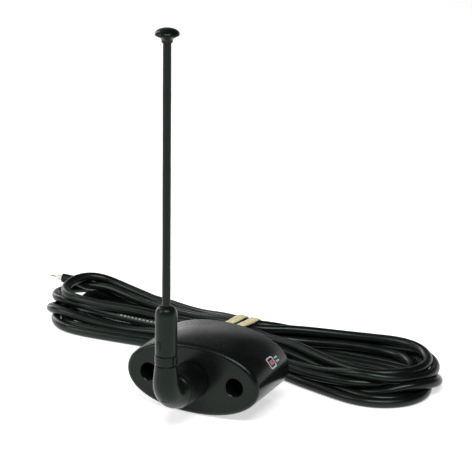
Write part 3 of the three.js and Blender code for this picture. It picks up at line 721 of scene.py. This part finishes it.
def carve(piece, tools, operation="DIFFERENCE"):
    for tool in tools:
        cut = piece.modifiers.new("cut", "BOOLEAN")
        cut.object, cut.operation, cut.solver = tool, operation, "EXACT"
        seen = piece.evaluated_get(bpy.context.evaluated_depsgraph_get())
        mesh = bpy.data.meshes.new_from_object(seen)
        piece.modifiers.clear()
        old, piece.data = piece.data, mesh
        bpy.data.meshes.remove(old)
        bpy.data.objects.remove(tool)
    piece.data.shade_smooth()
    piece.data.set_sharp_from_angle(angle=CREASE)
    return piece


def drill(radius, start, end, x, z, chamfer=0.0, sides=64):
    profile = [(0, start), (radius + chamfer, start)]
    if chamfer:
        profile += [(radius + chamfer, 0.0), (radius, chamfer)]
    profile += [(radius, end), (0, end)]
    return turned("drill", profile, None, axis="Y", at=(x, 0, z), sides=sides, soften=0)


# %% Housing
arc = [math.radians(a) for a in range(0, 91, 10)]
sections = [(FILLET + 0.25, 0.0)]
sections += [(FILLET * (1 - math.sin(a)), FILLET * (1 - math.cos(a))) for a in arc]
sections += [(0.0, DEPTH - EDGE), (EDGE * 0.3, DEPTH - EDGE * 0.3), (EDGE, DEPTH)]
housing = oval_block("housing", sections, "base")
hollow = oval_block("hollow", [(WALL, FRONT_WALL), (WALL, DEPTH + 1)])
posts = [drill(POST_R, 0, COVER_Y - 0.3, s * SCREW_X, 0) for s in (-1, 1)]
posts += [drill(PILLAR_R, 0, COVER_Y - 1.4, 0, s * COVER_SCREW_Z) for s in (-1, 1)]
carve(hollow, posts)
seat = oval_block("seat", [(LIP, COVER_Y - 1.4), (LIP, DEPTH + 1)])
bores = []
for side in (-1, 1):
    bores.append(drill(HEAD_R, -1, HEAD_DEPTH, side * SCREW_X, 0, chamfer=0.3))
    bores.append(drill(SHANK_R, HEAD_DEPTH - 1, DEPTH + 1, side * SCREW_X, 0))
    bores.append(drill(1.5, 18, DEPTH, 0, side * COVER_SCREW_Z, sides=24))
carve(housing, [hollow, seat, *bores, drill(6.3, -1, 5, 0, 0)])
housing.data.materials.append(HOUSING_ABS)
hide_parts("housing_shell")
count_of(housing)

# %% [markdown]
# ## The cover
# The back is closed by a flat plate that drops into the housing's rim with a hair of clearance.
# Its edge is rounded off by a third of a millimetre. Two holes let the wall screws through, two
# sunk ones take the cover screws, and a round one holds the boot of the cable.

# %% Cover
cover_sections = [
    (LIP + 0.3 + EDGE, COVER_Y), (LIP + 0.3, COVER_Y + EDGE), (LIP + 0.3, DEPTH - EDGE),
    (LIP + 0.3 + EDGE * 0.3, DEPTH - EDGE * 0.3), (LIP + 0.3 + EDGE, DEPTH),
]
cover = oval_block("cover_plate", cover_sections, "base")
holes = [drill(SHANK_R, COVER_Y - 1, DEPTH + 1, side * SCREW_X, 0) for side in (-1, 1)]
for side in (-1, 1):
    holes.append(drill(1.5, COVER_Y - 1, DEPTH + 1, 0, side * COVER_SCREW_Z, sides=32))
    holes.append(drill(2.7, DEPTH - 2.2, DEPTH + 1, 0, side * COVER_SCREW_Z, sides=48))
holes.append(drill(4.2, COVER_Y - 1, DEPTH + 1, LEAD[0][0], 0))
carve(cover, holes)
cover.data.materials.append(COVER_ABS)
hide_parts("back_cover")
count_of(cover)

# %% [markdown]
# ## The swivel boss
# A short conical collar is screwed into the face from inside. The elbow turns against its front
# edge. It was turned in one with its flange, so a profile makes it: a small foot with a soft
# inner corner, the cone, a fine step where the elbow meets it, and the bore for the stud.

# %% Swivel boss
BOSS_FRONT = span("swivel_boss")[0][1]
boss_profile = [
    (3.5, BOSS_FRONT, 0), (5.6, BOSS_FRONT, 0), (5.6, BOSS_FRONT + 1.7, 0),
    (7.4, BOSS_FRONT + 1.7, 0), (7.4, BOSS_FRONT, 0), (8.6, BOSS_FRONT, 0.3),
    (8.72, BOSS_FRONT + 1.5, 0.1), (8.5, BOSS_FRONT + 1.7, 0.1), (8.52, BOSS_FRONT + 2.0, 0.1),
    (8.78, BOSS_FRONT + 2.2, 0.1), (9.15, -3.2, 0.6), (9.4, -2.0, 0.8), (9.4, -0.3, 0.2),
    (6.0, -0.3, 0), (6.0, 8.2, 0.2), (3.5, 8.2, 0), (3.5, BOSS_FRONT, 0),
]
boss = turned("swivel_collar", boss_profile, "base", axis="Y", finish=BOSS_SHADED_NYLON)
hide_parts("swivel_boss")
count_of(boss)

# %% [markdown]
# ## The elbow
# It is a trumpet bent through a right angle: wide where it meets the boss, slim where the whip
# screws in. Its radius falls steadily along its centre line, so rings of points are set along
# that line, each square to it and of its own radius. Two halves of a mould met in its upright
# middle plane, and left a seam a few hundredths of a millimetre proud, which is drawn here as
# slightly raised points along the top and the bottom of each ring.

# %% Elbow
MOUTH_R, BELLY_R, NECK_R, BEND_R, NECK_Z = 8.6, 7.1, 5.35, 9.9, 17.4
MOUTH_Y = BOSS_FRONT - 0.3
STRAIGHT = (MOUTH_Y - WHIP) - BEND_R
ELBOW_ARC = math.pi / 2 * BEND_R
ELBOW_LENGTH = STRAIGHT + ELBOW_ARC + (NECK_Z - BEND_R)


def elbow_station(along):
    turn = min(max((along - STRAIGHT) / BEND_R, 0), math.pi / 2)
    rise = max(along - STRAIGHT - ELBOW_ARC, 0)
    forward = Vector((0, -math.cos(turn), math.sin(turn)))
    inward = Vector((0, math.sin(turn), math.cos(turn)))
    at = Vector((0, MOUTH_Y - min(along, STRAIGHT), BEND_R)) - inward * BEND_R + forward * rise
    return at, inward


def elbow_radius(along):
    part = along / ELBOW_LENGTH
    slim = (1 - part ** 1.6) * (BELLY_R - NECK_R)
    flare = max(0.0, 1 - part / 0.3) ** 2 * (MOUTH_R - BELLY_R)
    return NECK_R + slim + flare


def elbow_ring(along, radius, sides=TURNED_SIDES, seam=0.05):
    at, inward = elbow_station(along)
    ring = []
    for k in range(sides):
        angle = 2 * math.pi * k / sides
        raised = seam * max(0.0, 1 - abs(math.sin(angle)) * sides / 7)
        p = at + (inward * math.cos(angle) + Vector((1, 0, 0)) * math.sin(angle)) * (radius + raised)
        ring.append(place(*p))
    return ring


rows = [elbow_ring(0, MOUTH_R - 0.45, seam=0)]
rows += [elbow_ring(0.45 * (1 - math.cos(a)), elbow_radius(0) - 0.45 * (1 - math.sin(a)), seam=0)
         for a in map(math.radians, (25, 50, 75))]
steps = 40
rows += [elbow_ring(0.5 + (ELBOW_LENGTH - 0.8) * k / steps,
                    elbow_radius(0.5 + (ELBOW_LENGTH - 0.8) * k / steps)) for k in range(steps + 1)]
rows += [elbow_ring(ELBOW_LENGTH, NECK_R - 0.3, seam=0)]
elbow = outwards(new_piece("elbow_trumpet", *skin(rows), "elbow_arm"))
stud_bore = drill(3.5, WHIP - 0.5, MOUTH_Y + 1, 0, 0, sides=48)
carve(elbow, [stud_bore])
insert_bore = turned("bore", [(0, -1), (3.1, -1), (3.1, 20), (0, 20)], None, at=(0, WHIP, 0),
                     sides=48, soften=0)
carve(elbow, [insert_bore])
elbow.data.materials.append(WHIP_PLASTIC)
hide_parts("elbow")
count_of(elbow)

# %% [markdown]
# ## Ring and sleeve
# The ring locks the whip's thread: a short collar with one slot for a key. Above it the sleeve
# covers the ferrule and ends in a soft dome round the rod. A small raised tab near the sleeve's
# foot shows which way the whip is turned.

# %% Lock ring
RING_LOW, RING_HIGH, RING_R = 17.7, 22.4, 5.45
ring_profile = [(3.0, RING_LOW, 0), (RING_R - 0.1, RING_LOW, 0.15), (RING_R, RING_LOW + 0.9, 0.1),
                (RING_R, RING_HIGH, 0.25), (3.0, RING_HIGH, 0), (3.0, RING_LOW, 0)]
ring = turned("lock_collar", ring_profile, "elbow_arm", at=(0, WHIP, 0), finish=WHIP_PLASTIC)


def slab(size, centre, turn, pivot):
    """A box to cut or add with, turned about the upright through the pivot."""
    half = [v / 2 for v in size]
    corners = [(sx * half[0], sy * half[1], sz * half[2])
               for sx in (-1, 1) for sy in (-1, 1) for sz in (-1, 1)]
    c, s = math.cos(turn), math.sin(turn)
    points = []
    for x, y, z in corners:
        x, y = x + centre[0], y + centre[1]
        points.append(place(pivot[0] + c * x - s * y, pivot[1] + s * x + c * y, z + centre[2]))
    faces = [(0, 1, 3, 2), (4, 6, 7, 5), (0, 4, 5, 1), (2, 3, 7, 6), (0, 2, 6, 4), (1, 5, 7, 3)]
    return outwards(new_piece("slab", points, faces, None))


slot_tool = slab((1.6, 1.4, 8), (0, -RING_R, 20), math.radians(62), (0, WHIP))
carve(ring, [slot_tool])
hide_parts("lock_ring")
count_of(ring)

# %% Sleeve with its tab
SLEEVE_LOW, SHOULDER, SLEEVE_TOP, SLEEVE_R = 22.7, 42.0, 46.5, 5.3
LIP_R, DOME_HIGH = 2.7, SLEEVE_TOP - SHOULDER
MOUTH_BORE, FERRULE_BORE, ROD_BORE = 3.7, 3.3, 2.15
dome = []
for a in range(0, 91, 9):
    t = math.radians(a)
    dome.append((LIP_R + (SLEEVE_R - LIP_R) * math.cos(t), SHOULDER + DOME_HIGH * math.sin(t), 0))
sleeve_profile = [
    (MOUTH_BORE, SLEEVE_LOW, 0), (SLEEVE_R, SLEEVE_LOW, 0.2), *dome, (ROD_BORE, SLEEVE_TOP, 0.1),
    (ROD_BORE, 34.3, 0), (FERRULE_BORE, 34.3, 0), (FERRULE_BORE, 25.3, 0), (MOUTH_BORE, 25.3, 0),
    (MOUTH_BORE, SLEEVE_LOW, 0),
]
sleeve = turned("whip_base_sleeve", sleeve_profile, "whip", at=(0, WHIP, 0), finish=WHIP_PLASTIC)
tab = slab((2.2, 1.6, 4.0), (0, 0.4 - SLEEVE_R, 28), math.radians(-16), (0, WHIP))
bevel = tab.modifiers.new("edge", "BEVEL")
bevel.width, bevel.segments = 0.18 * MM, 3
seen = tab.evaluated_get(bpy.context.evaluated_depsgraph_get())
tab.data = bpy.data.meshes.new_from_object(seen)
tab.modifiers.clear()
carve(sleeve, [tab], "UNION")
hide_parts("whip_sleeve")
count_of(sleeve)

# %% [markdown]
# ## Rod and knob
# The whip is a 3.4 mm spring-steel rod that was dipped in PVC, which makes it 4 mm thick and
# very slightly uneven. A mushroom-shaped knob is pushed on its tip to protect eyes.

# %% Rod
ROD_LOW, ROD_HIGH = ROD_START[2], ROD_END[2]
ROD_R = 2.0
stations = 90
rod_profile = [(0, ROD_LOW, 0), (ROD_R - 0.25, ROD_LOW, 0), (ROD_R, ROD_LOW + 0.25, 0)]
for k in range(1, stations):
    height = ROD_LOW + 0.25 + (ROD_HIGH - ROD_LOW - 0.5) * k / stations
    wave = 0.018 * math.sin(height / 7.3) + 0.012 * math.sin(height / 2.9 + 1)
    rod_profile.append((ROD_R - 0.02 + wave, height, 0))
rod_profile += [(ROD_R - 0.02, ROD_HIGH - 0.25, 0), (ROD_R - 0.25, ROD_HIGH, 0), (0, ROD_HIGH, 0)]
rod = turned("dipped_rod", rod_profile, "whip", at=(0, WHIP, 0), sides=48, finish=ROD_COAT)
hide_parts("whip_rod")
count_of(rod)

# %% Knob
KNOB_R, KNOB_LOW, KNOB_WIDEST, KNOB_TOP, KNOB_BORE = 5.75, 174.0, 178.0, 180.7, 2.15
cap = []
for a in range(0, 90, 6):
    t = math.radians(a)
    cap.append((KNOB_R * math.cos(t), KNOB_WIDEST + (KNOB_TOP - KNOB_WIDEST) * math.sin(t), 0))
knob_profile = [(KNOB_BORE, KNOB_LOW, 0), (2.6, KNOB_LOW, 0.12), (2.68, 175.2, 0.4),
                (3.5, 176.2, 0.6), (5.1, 177.1, 0.5), (KNOB_R, 177.45, 0.25), *cap,
                (0, KNOB_TOP, 0)]
knob = turned("tip_cap", knob_profile, "whip", at=(0, WHIP, 0), finish=WHIP_PLASTIC)
bore_profile = [(0, 170), (KNOB_BORE, 170), (KNOB_BORE, KNOB_WIDEST), (0, KNOB_WIDEST)]
knob_bore = turned("bore", bore_profile, None, at=(0, WHIP, 0), sides=48, soften=0)
carve(knob, [knob_bore])
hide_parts("tip_knob")
count_of(knob)

# %% [markdown]
# ## Geometry Nodes for what repeats
# The boot's ribs and the cover's screws each repeat one small shape. A node tree does that well:
# it takes one shape, sets it on points, makes the copies real and gives them their material. The
# helper below builds the tree with named inputs, sets those inputs by their identifiers, and
# keeps the result as a plain mesh, so that no modifier is left.

# %% Repeating one shape on points
def repeat_tree(name, material):
    tree = bpy.data.node_groups.new(name, "GeometryNodeTree")
    for label, kind in (("Points", "NodeSocketGeometry"), ("Shape", "NodeSocketObject"),
                        ("Size", "NodeSocketFloat"), ("Turn", "NodeSocketFloat")):
        tree.interface.new_socket(label, in_out="INPUT", socket_type=kind)
    tree.interface.new_socket("Geometry", in_out="OUTPUT", socket_type="NodeSocketGeometry")
    ends = add(tree, "NodeGroupInput"), add(tree, "NodeGroupOutput")
    given = ends[0].outputs
    shape = add(tree, "GeometryNodeObjectInfo", {"Object": given["Shape"]})
    girth = add(tree, "GeometryNodeInputNamedAttribute", {"Name": "girth"}, data_type="FLOAT")
    size = maths(tree, "MULTIPLY", girth.outputs["Attribute"], given["Size"])
    spin = add(tree, "ShaderNodeCombineXYZ", {"Y": given["Turn"]})
    copies = add(tree, "GeometryNodeInstanceOnPoints", {
        "Points": given["Points"], "Instance": shape.outputs["Geometry"],
        "Rotation": spin.outputs[0], "Scale": size})
    real = add(tree, "GeometryNodeRealizeInstances", {"Geometry": copies.outputs[0]})
    dressed = add(tree, "GeometryNodeSetMaterial", {"Geometry": real.outputs[0],
                                                    "Material": material})
    tree.links.new(dressed.outputs[0], ends[1].inputs[0])
    return tree


def repeated(name, shape, points, girths, body, material, turn=0.0):
    carrier = new_piece(name + "_points", points, [], None)
    girth = carrier.data.attributes.new("girth", "FLOAT", "POINT")
    girth.data.foreach_set("value", girths)
    tree = repeat_tree(name + "_tree", material)
    made = carrier.modifiers.new("repeat", "NODES")
    made.node_group = tree
    sockets = {s.name: s.identifier for s in tree.interface.items_tree if s.in_out == "INPUT"}
    made[sockets["Shape"]] = shape
    made[sockets["Size"]] = 1.0
    made[sockets["Turn"]] = turn
    seen = carrier.evaluated_get(bpy.context.evaluated_depsgraph_get())
    mesh = bpy.data.meshes.new_from_object(seen)
    piece = bpy.data.objects.new(name, mesh)
    bpy.context.scene.collection.objects.link(piece)
    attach(piece, body)
    for used in (carrier, shape):
        bpy.data.objects.remove(used)
    mesh.shade_smooth()
    mesh.set_sharp_from_angle(angle=CREASE)
    count_of(piece)
    return piece


# %% [markdown]
# ## The boot
# The strain relief is soft rubber moulded in one: a flange inside the cover, a flange outside it
# and a tapered nose with ribs that share out the bend. The body is a turned profile. One rib is a
# turned ring of unit girth, and the tree sets five of them along the nose, each a little smaller.

# %% Boot body and ribs
EXIT_X = LEAD[0][0]
BOOT_END = span("cable_boot")[1][1]
BOOT_BACK, BOOT_OUT = COVER_Y - 0.3, DEPTH + 0.3
BOOT_BORE, NOSE_WIDE, NOSE_NARROW, NOSE_FROM = 2.6, 4.2, 3.2, BOOT_OUT + 2.0
boot_profile = [
    (BOOT_BORE, BOOT_BACK - 1.7, 0), (5.4, BOOT_BACK - 1.7, 0.3), (5.4, BOOT_BACK, 0.2),
    (3.9, BOOT_BACK, 0.1), (3.9, BOOT_OUT, 0.1), (5.4, BOOT_OUT, 0.2), (5.4, BOOT_OUT + 1.7, 0.5),
    (NOSE_WIDE, NOSE_FROM, 0.3), (NOSE_NARROW, BOOT_END - 0.3, 0.2), (2.95, BOOT_END, 0.1),
    (BOOT_BORE, BOOT_END, 0), (BOOT_BORE, BOOT_BACK - 1.7, 0),
]
boot = turned("cable_boot_nose", boot_profile, "base", axis="Y", at=(EXIT_X, 0, 0), sides=64,
              finish=BOOT_RUBBER)
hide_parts("cable_boot")
rib_profile = [(0.90, -0.0875), (1.0, -0.0875), (1.10, -0.05), (1.10, 0.05), (1.0, 0.0875),
               (0.90, 0.0875), (0.90, -0.0875)]
RIBS, RIB_PITCH, RIB_SUNK = 5, 1.25, 0.25


def small_turned(name, profile, soften, closed, sides=48):
    """A turned shape at the origin, for a tree to set on points."""
    angles = [2 * math.pi * k / sides for k in range(sides)]
    rings = [[(r * math.cos(a) * MM, y * MM, -r * math.sin(a) * MM) for a in angles]
             for r, y in ((max(r, 1e-4), y) for r, y in softened(profile, soften))]
    return outwards(new_piece(name, *skin(rings, closed=closed), None))


rib_y = [BOOT_OUT + 3.0 + RIB_PITCH * k for k in range(RIBS)]
nose_slope = (NOSE_WIDE - NOSE_NARROW) / (BOOT_END - 0.3 - NOSE_FROM)
rib_girths = [NOSE_WIDE - nose_slope * (y - NOSE_FROM) - RIB_SUNK for y in rib_y]
rib_shape = small_turned("rib_shape", rib_profile, 0.06, closed=False)
ribs = repeated("cable_boot_ribs", rib_shape, [place(EXIT_X, y, 0) for y in rib_y], rib_girths,
                "base", BOOT_RUBBER)

# %% [markdown]
# ## The cover's screws
# Two pan-head screws with a cross recess hold the cover. One head is turned from a profile, the
# cross is cut out of it, and the tree sets one at each hole. The shank is inside, so a short
# plain one is enough.

# %% Cover screws
HEAD_TOP = span("cover_screw_top")[1][1]
head_profile = [(0, -14.0), (0.7, -13.0), (1.2, -11.8), (1.2, -1.6), (2.4, -1.6), (2.4, -1.0),
                (2.15, -0.35), (1.6, -0.06), (0, 0)]
screw_shape = small_turned("screw_shape", head_profile, 0.12, closed=True)


def cross_arm(length, width, depth):
    points = []
    for y, shrink in ((0.5, 1.0), (-depth, 0.45)):
        for sx, sz in ((-1, -1), (1, -1), (1, 1), (-1, 1)):
            points.append((sx * length / 2 * shrink * MM, y * MM, sz * width / 2 * MM))
    faces = [(0, 1, 2, 3), (7, 6, 5, 4), (0, 4, 5, 1), (1, 5, 6, 2), (2, 6, 7, 3), (3, 7, 4, 0)]
    return outwards(new_piece("cross", points, faces, None))


upright = cross_arm(2.9, 0.62, 1.1)
upright.data.transform(Matrix.Rotation(math.pi / 2, 4, "Y"))
carve(screw_shape, [cross_arm(2.9, 0.62, 1.1), upright])
screws = repeated(
    "cover_screws", screw_shape,
    [place(0, HEAD_TOP, side * COVER_SCREW_Z) for side in (-1, 1)], [1.0, 1.0], "base", STEEL,
    turn=math.radians(28))
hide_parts("cover_screw_top", "cover_screw_bottom")

# %% [markdown]
# ## The rubber band
# A cream rubber band goes twice round the pinched middle. Each pass is pulled tight over the
# strands, so its path is worked out from them: the strands' sections at the tie are gathered, the
# tightest outline round them is found, and a flat strip with rounded edges is carried along it,
# leaning a little so that the two passes don't run side by side.

# %% Tightest outline round the strands
def strand_centres(along):
    centres = []
    for a, b in zip(strand[:-1], strand[1:]):
        if (a[0] - along) * (b[0] - along) <= 0 and abs(b[0] - a[0]) > 1e-6:
            if abs(a[1]) < 14:
                t = (along - a[0]) / (b[0] - a[0])
                centres.append((a[1] + t * (b[1] - a[1]), a[2] + t * (b[2] - a[2])))
    return centres


def outline(centres, reach):
    circle = [(math.cos(t), math.sin(t)) for t in np.linspace(0, 2 * math.pi, 40, endpoint=False)]
    points = sorted({(round(v + reach * c, 5), round(z + reach * s, 5))
                     for v, z in centres for c, s in circle})

    def half(run):
        kept = []
        for p in run:
            while len(kept) > 1 and ((kept[-1][0] - kept[-2][0]) * (p[1] - kept[-2][1])
                                     - (kept[-1][1] - kept[-2][1]) * (p[0] - kept[-2][0])) <= 0:
                kept.pop()
            kept.append(p)
        return kept[:-1]

    ring = half(points) + half(points[::-1])
    closed = np.array(ring + ring[:1])
    gone = np.r_[0, np.cumsum(np.linalg.norm(np.diff(closed, axis=0), axis=1))]
    marks = np.linspace(0, gone[-1], 97)[:-1]
    return np.stack([np.interp(marks, gone, closed[:, k]) for k in range(2)], -1)


BAND_WIDE, BAND_THICK = 5.0, 1.0


def band_pass(name, middle, lean, phase, rise=0.0):
    centres = strand_centres(middle)
    path = outline(centres, RADIUS + 0.05 + rise)
    for _ in range(3):
        path = (np.roll(path, 1, 0) + 2 * path + np.roll(path, -1, 0)) / 4
    rings = []
    count = len(path)
    for k in range(count):
        angle = 2 * math.pi * k / count
        aim = path[(k + 1) % count] - path[k - 1]
        aim = aim / np.linalg.norm(aim)
        out = np.array([aim[1], -aim[0]])
        along = middle + lean * math.sin(angle + phase) + 0.25 * math.sin(3 * angle + 2 * phase)
        wide = BAND_WIDE * (1 + 0.06 * math.sin(2 * angle + phase))
        ring = []
        for j in range(20):
            t = 2 * math.pi * j / 20
            c, s = math.cos(t), math.sin(t)
            u = wide / 2 * math.copysign(abs(c) ** 0.35, c)
            h = BAND_THICK / 2 * math.copysign(abs(s) ** 0.6, s) + BAND_THICK / 2
            across, above = path[k] + out * h
            ring.append(from_hank(along + u, across, max(above, 0.05)))
        rings.append(ring)
    points, faces = skin(rings, closed=False)
    last, sides = (count - 1) * 20, 20
    for j in range(sides):
        n = (j + 1) % sides
        faces.append((last + j, last + n, n, j))
    piece = outwards(new_piece(name, points, faces, "base"))
    count_of(piece)
    return piece


near_band = band_pass("rubber_band_left", -2.9, 1.0, 0.6)
far_band = band_pass("rubber_band_right", 2.7, -0.9, 0.9, rise=0.03)


def latex():
    material, tree, shader, where = blank("natural_rubber_band", ior=1.52)
    broad = noise(tree, where, 4, 4.0, 0.6)
    streak = add(tree, "ShaderNodeMapping", {"Vector": where, "Scale": (4.0, 1.0, 1.0)})
    fine = noise(tree, streak.outputs[0], 1.6, 3.0, 0.6)
    colour = ramp(tree, maths(tree, "MULTIPLY", broad, fine), [(0.1, "#d8cb98"), (0.4, "#f6eec8")])
    bump = add(tree, "ShaderNodeBump", {"Height": fine, "Distance": 0.03 * MM})
    tree.links.new(colour, shader.inputs["Base Color"])
    tree.links.new(bump.outputs["Normal"], shader.inputs["Normal"])
    shader.inputs["Roughness"].default_value = 0.55
    shader.inputs["Subsurface Weight"].default_value = 0.25
    shader.inputs["Subsurface Radius"].default_value = (1.0, 0.7, 0.4)
    shader.inputs["Subsurface Scale"].default_value = 0.8 * MM
    return material


LATEX = latex()
for band in (near_band, far_band):
    band.data.materials.append(LATEX)
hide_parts("rubber_band")

# %% [markdown]
# ## A small print on the flank
# The flank carries a plain pad print that stands for nothing: a pale rounded frame with a coral
# bar in it, and two short strokes beside it. Each mark is a thin raised patch that follows the
# oval flank. Real ink is a few hundredths of a millimetre thick, and it is drawn at a tenth so that
# it clears the facets. Its outline is drawn flat and then wrapped, point by point, on the oval rule.

# %% Patches wrapped on the flank
def flank_point(angle, y, lift):
    c, s = math.cos(angle), math.sin(angle)
    x = (WIDTH / 2 + lift) * math.copysign(abs(c) ** OVAL_POWER, c)
    z = (HEIGHT / 2 + lift) * math.copysign(abs(s) ** OVAL_POWER, s)
    return place(x, y, z)


def arc_table(start=0.02, end=1.2, count=400):
    angles = np.linspace(start, end, count)
    points = [flank_point(a, 0, 0) for a in angles]
    gone = np.r_[0, np.cumsum([(q - p).length / MM for p, q in zip(points[:-1], points[1:])])]
    return angles, gone


FLANK_ANGLES, FLANK_ARCS = arc_table()
INK = 0.12


def wrapped(name, outer, inner, middle, material):
    """A closed ribbon between two outlines of (across, back) points round a middle on the flank."""
    def set_on(points, lift):
        angles = [np.interp(middle[0] + p[0], FLANK_ARCS, FLANK_ANGLES) for p in points]
        return [flank_point(a, middle[1] + p[1], lift) for a, p in zip(angles, points)]

    rings = [set_on(inner, -0.05), set_on(inner, INK), set_on(outer, INK), set_on(outer, -0.05)]
    points, faces = skin(rings, closed=False)
    count = len(outer)
    for k in range(count):
        n = (k + 1) % count
        faces.append((3 * count + k, 3 * count + n, n, k))
    piece = outwards(new_piece(name, points, faces, "base"))
    piece.data.materials.append(material)
    return piece


def rounded_frame(half_width, half_height, corner, steps=8):
    points = []
    for quarter, (sx, sy) in enumerate(((1, 1), (-1, 1), (-1, -1), (1, -1))):
        for k in range(steps + 1):
            a = math.pi / 2 * (quarter + k / steps)
            points.append((sx * (half_width - corner) + corner * math.cos(a),
                           sy * (half_height - corner) + corner * math.sin(a)))
    return points


INK_PALE = moulded("pale_pad_ink", "#a9b6c4", "#c3ced8", (0.45, 0.6), 0.4, 0.004, patch=2)
INK_CORAL = moulded("coral_pad_ink", "#b4584c", "#cf7466", (0.45, 0.6), 0.4, 0.004, patch=2)
MARK = (7.6, 21.5)
wrapped("flank_mark_frame", rounded_frame(3.0, 3.0, 1.2), rounded_frame(2.3, 2.3, 0.7), MARK,
        INK_PALE)
wrapped("flank_mark_bar", rounded_frame(1.2, 1.5, 0.3), rounded_frame(0.02, 0.32, 0.01), MARK,
        INK_CORAL)
for stroke in range(2):
    at = (MARK[0] - 1.0 + 2.0 * stroke, MARK[1] + 5.6)
    wrapped(f"flank_mark_stroke_{stroke + 1}", rounded_frame(0.42, 1.5, 0.35),
            rounded_frame(0.02, 1.1, 0.01), at, INK_PALE)

# %% [markdown]
# ## Finishes for the pieces that the CAD model already has right
# The board, its parts, the nuts, seals and wires are hidden or small, and their CAD shapes are
# true. They stay, and only get their finish, by the material slot that the record gives them.

# %% CAD pieces
BY_SLOT = {
    "black_rubber": SEAL_RUBBER, "cable_pvc": BOOT_RUBBER, "brass": BRASS, "plated_steel": STEEL,
    "tinned_steel": TINNED, "board_laminate": BOARD_GREEN, "chip_epoxy": EPOXY,
    "ceramic": CERAMIC, "polythene": POLYTHENE, "copper": COPPER, "housing_abs": HOUSING_ABS,
    "boss_nylon": BOSS_SHADED_NYLON, "whip_plastic": WHIP_PLASTIC, "coated_rod": ROD_COAT,
    "latex_band": LATEX,
}
dressed = 0
for part in frame["record"]["subparts"]:
    node = bpy.data.objects.get(part["node"])
    if node is None or node.type != "MESH":
        continue
    node.data.materials.clear()
    node.data.materials.append(BY_SLOT[part["material_slot"]])
    dressed += 1
print(dressed, "CAD pieces dressed")

# %% [markdown]
# ## Floor and light
# Small black goods are often shown on a light table: a sheet of white acrylic that is lit from
# below as well as from above, so that the ground is pure white and shadows are faint. The floor's
# material has a weak glow for that. Round it stands a low pale wall. Above the wall the world is
# dim, so that black plastic stays black. Three soft boxes draw the highlights: a wide one at the
# front left, one overhead that draws the line along the housing's edge and on the cable, and a
# tall strip at the left for the sleeve.

# %% Floor
REACH = 3
floor_points = [(-REACH, -REACH, 0), (REACH, -REACH, 0), (REACH, REACH, 0), (-REACH, REACH, 0)]
floor = bpy.data.objects.new("floor", bpy.data.meshes.new("floor"))
floor.data.from_pydata(floor_points, [], [(0, 1, 2, 3)])
bpy.context.scene.collection.objects.link(floor)
ACRYLIC = moulded("opal_acrylic", "#f4f4f2", "#fbfbfa", (0.8, 0.9), 40.0, 0.0, patch=300,
                  specular=0.1)
glow = ACRYLIC.node_tree.nodes["Principled BSDF"]
glow.inputs["Emission Color"].default_value = linear("#ffffff")
glow.inputs["Emission Strength"].default_value = 0.6
floor.data.materials.append(ACRYLIC)

# %% Surroundings
world = bpy.data.worlds.new("studio")
bpy.context.scene.world = world
world.use_nodes = True
room = world.node_tree
side = add(room, "ShaderNodeSeparateXYZ", {
    "Vector": add(room, "ShaderNodeTexCoord").outputs["Generated"]})
grey = between(room, side.outputs["X"], -0.95, -0.2, 0.36, 0.03)
wall = between(room, side.outputs["Z"], 0.14, 0.26, 0.85, 0.0)
room.links.new(maths(room, "MAXIMUM", grey, wall), room.nodes["Background"].inputs["Color"])


# %% Soft boxes
def soft_light(name, at, aim, size, watts):
    lamp = bpy.data.objects.new(name, bpy.data.lights.new(name, "AREA"))
    bpy.context.scene.collection.objects.link(lamp)
    lamp.data.shape, lamp.data.size, lamp.data.size_y = "RECTANGLE", size[0], size[1]
    lamp.data.energy = watts
    lamp.location = at
    lamp.rotation_mode = "QUATERNION"
    lamp.rotation_quaternion = (Vector(aim) - Vector(at)).to_track_quat("-Z", "Y")


soft_light("front_left_box", (-0.9, -0.75, 0.8), (0, 0, 0.05), (0.5, 0.8), 6)
soft_light("overhead_box", (0.3, -0.55, 1.05), (0, 0, 0), (0.85, 0.35), 10)
soft_light("left_strip", (-0.85, 0.45, 0.45), (0, 0, 0.08), (0.2, 0.9), 3)
bpy.context.scene.view_settings.view_transform = "Standard"
print("the scene has", len(bpy.data.lights), "lights")
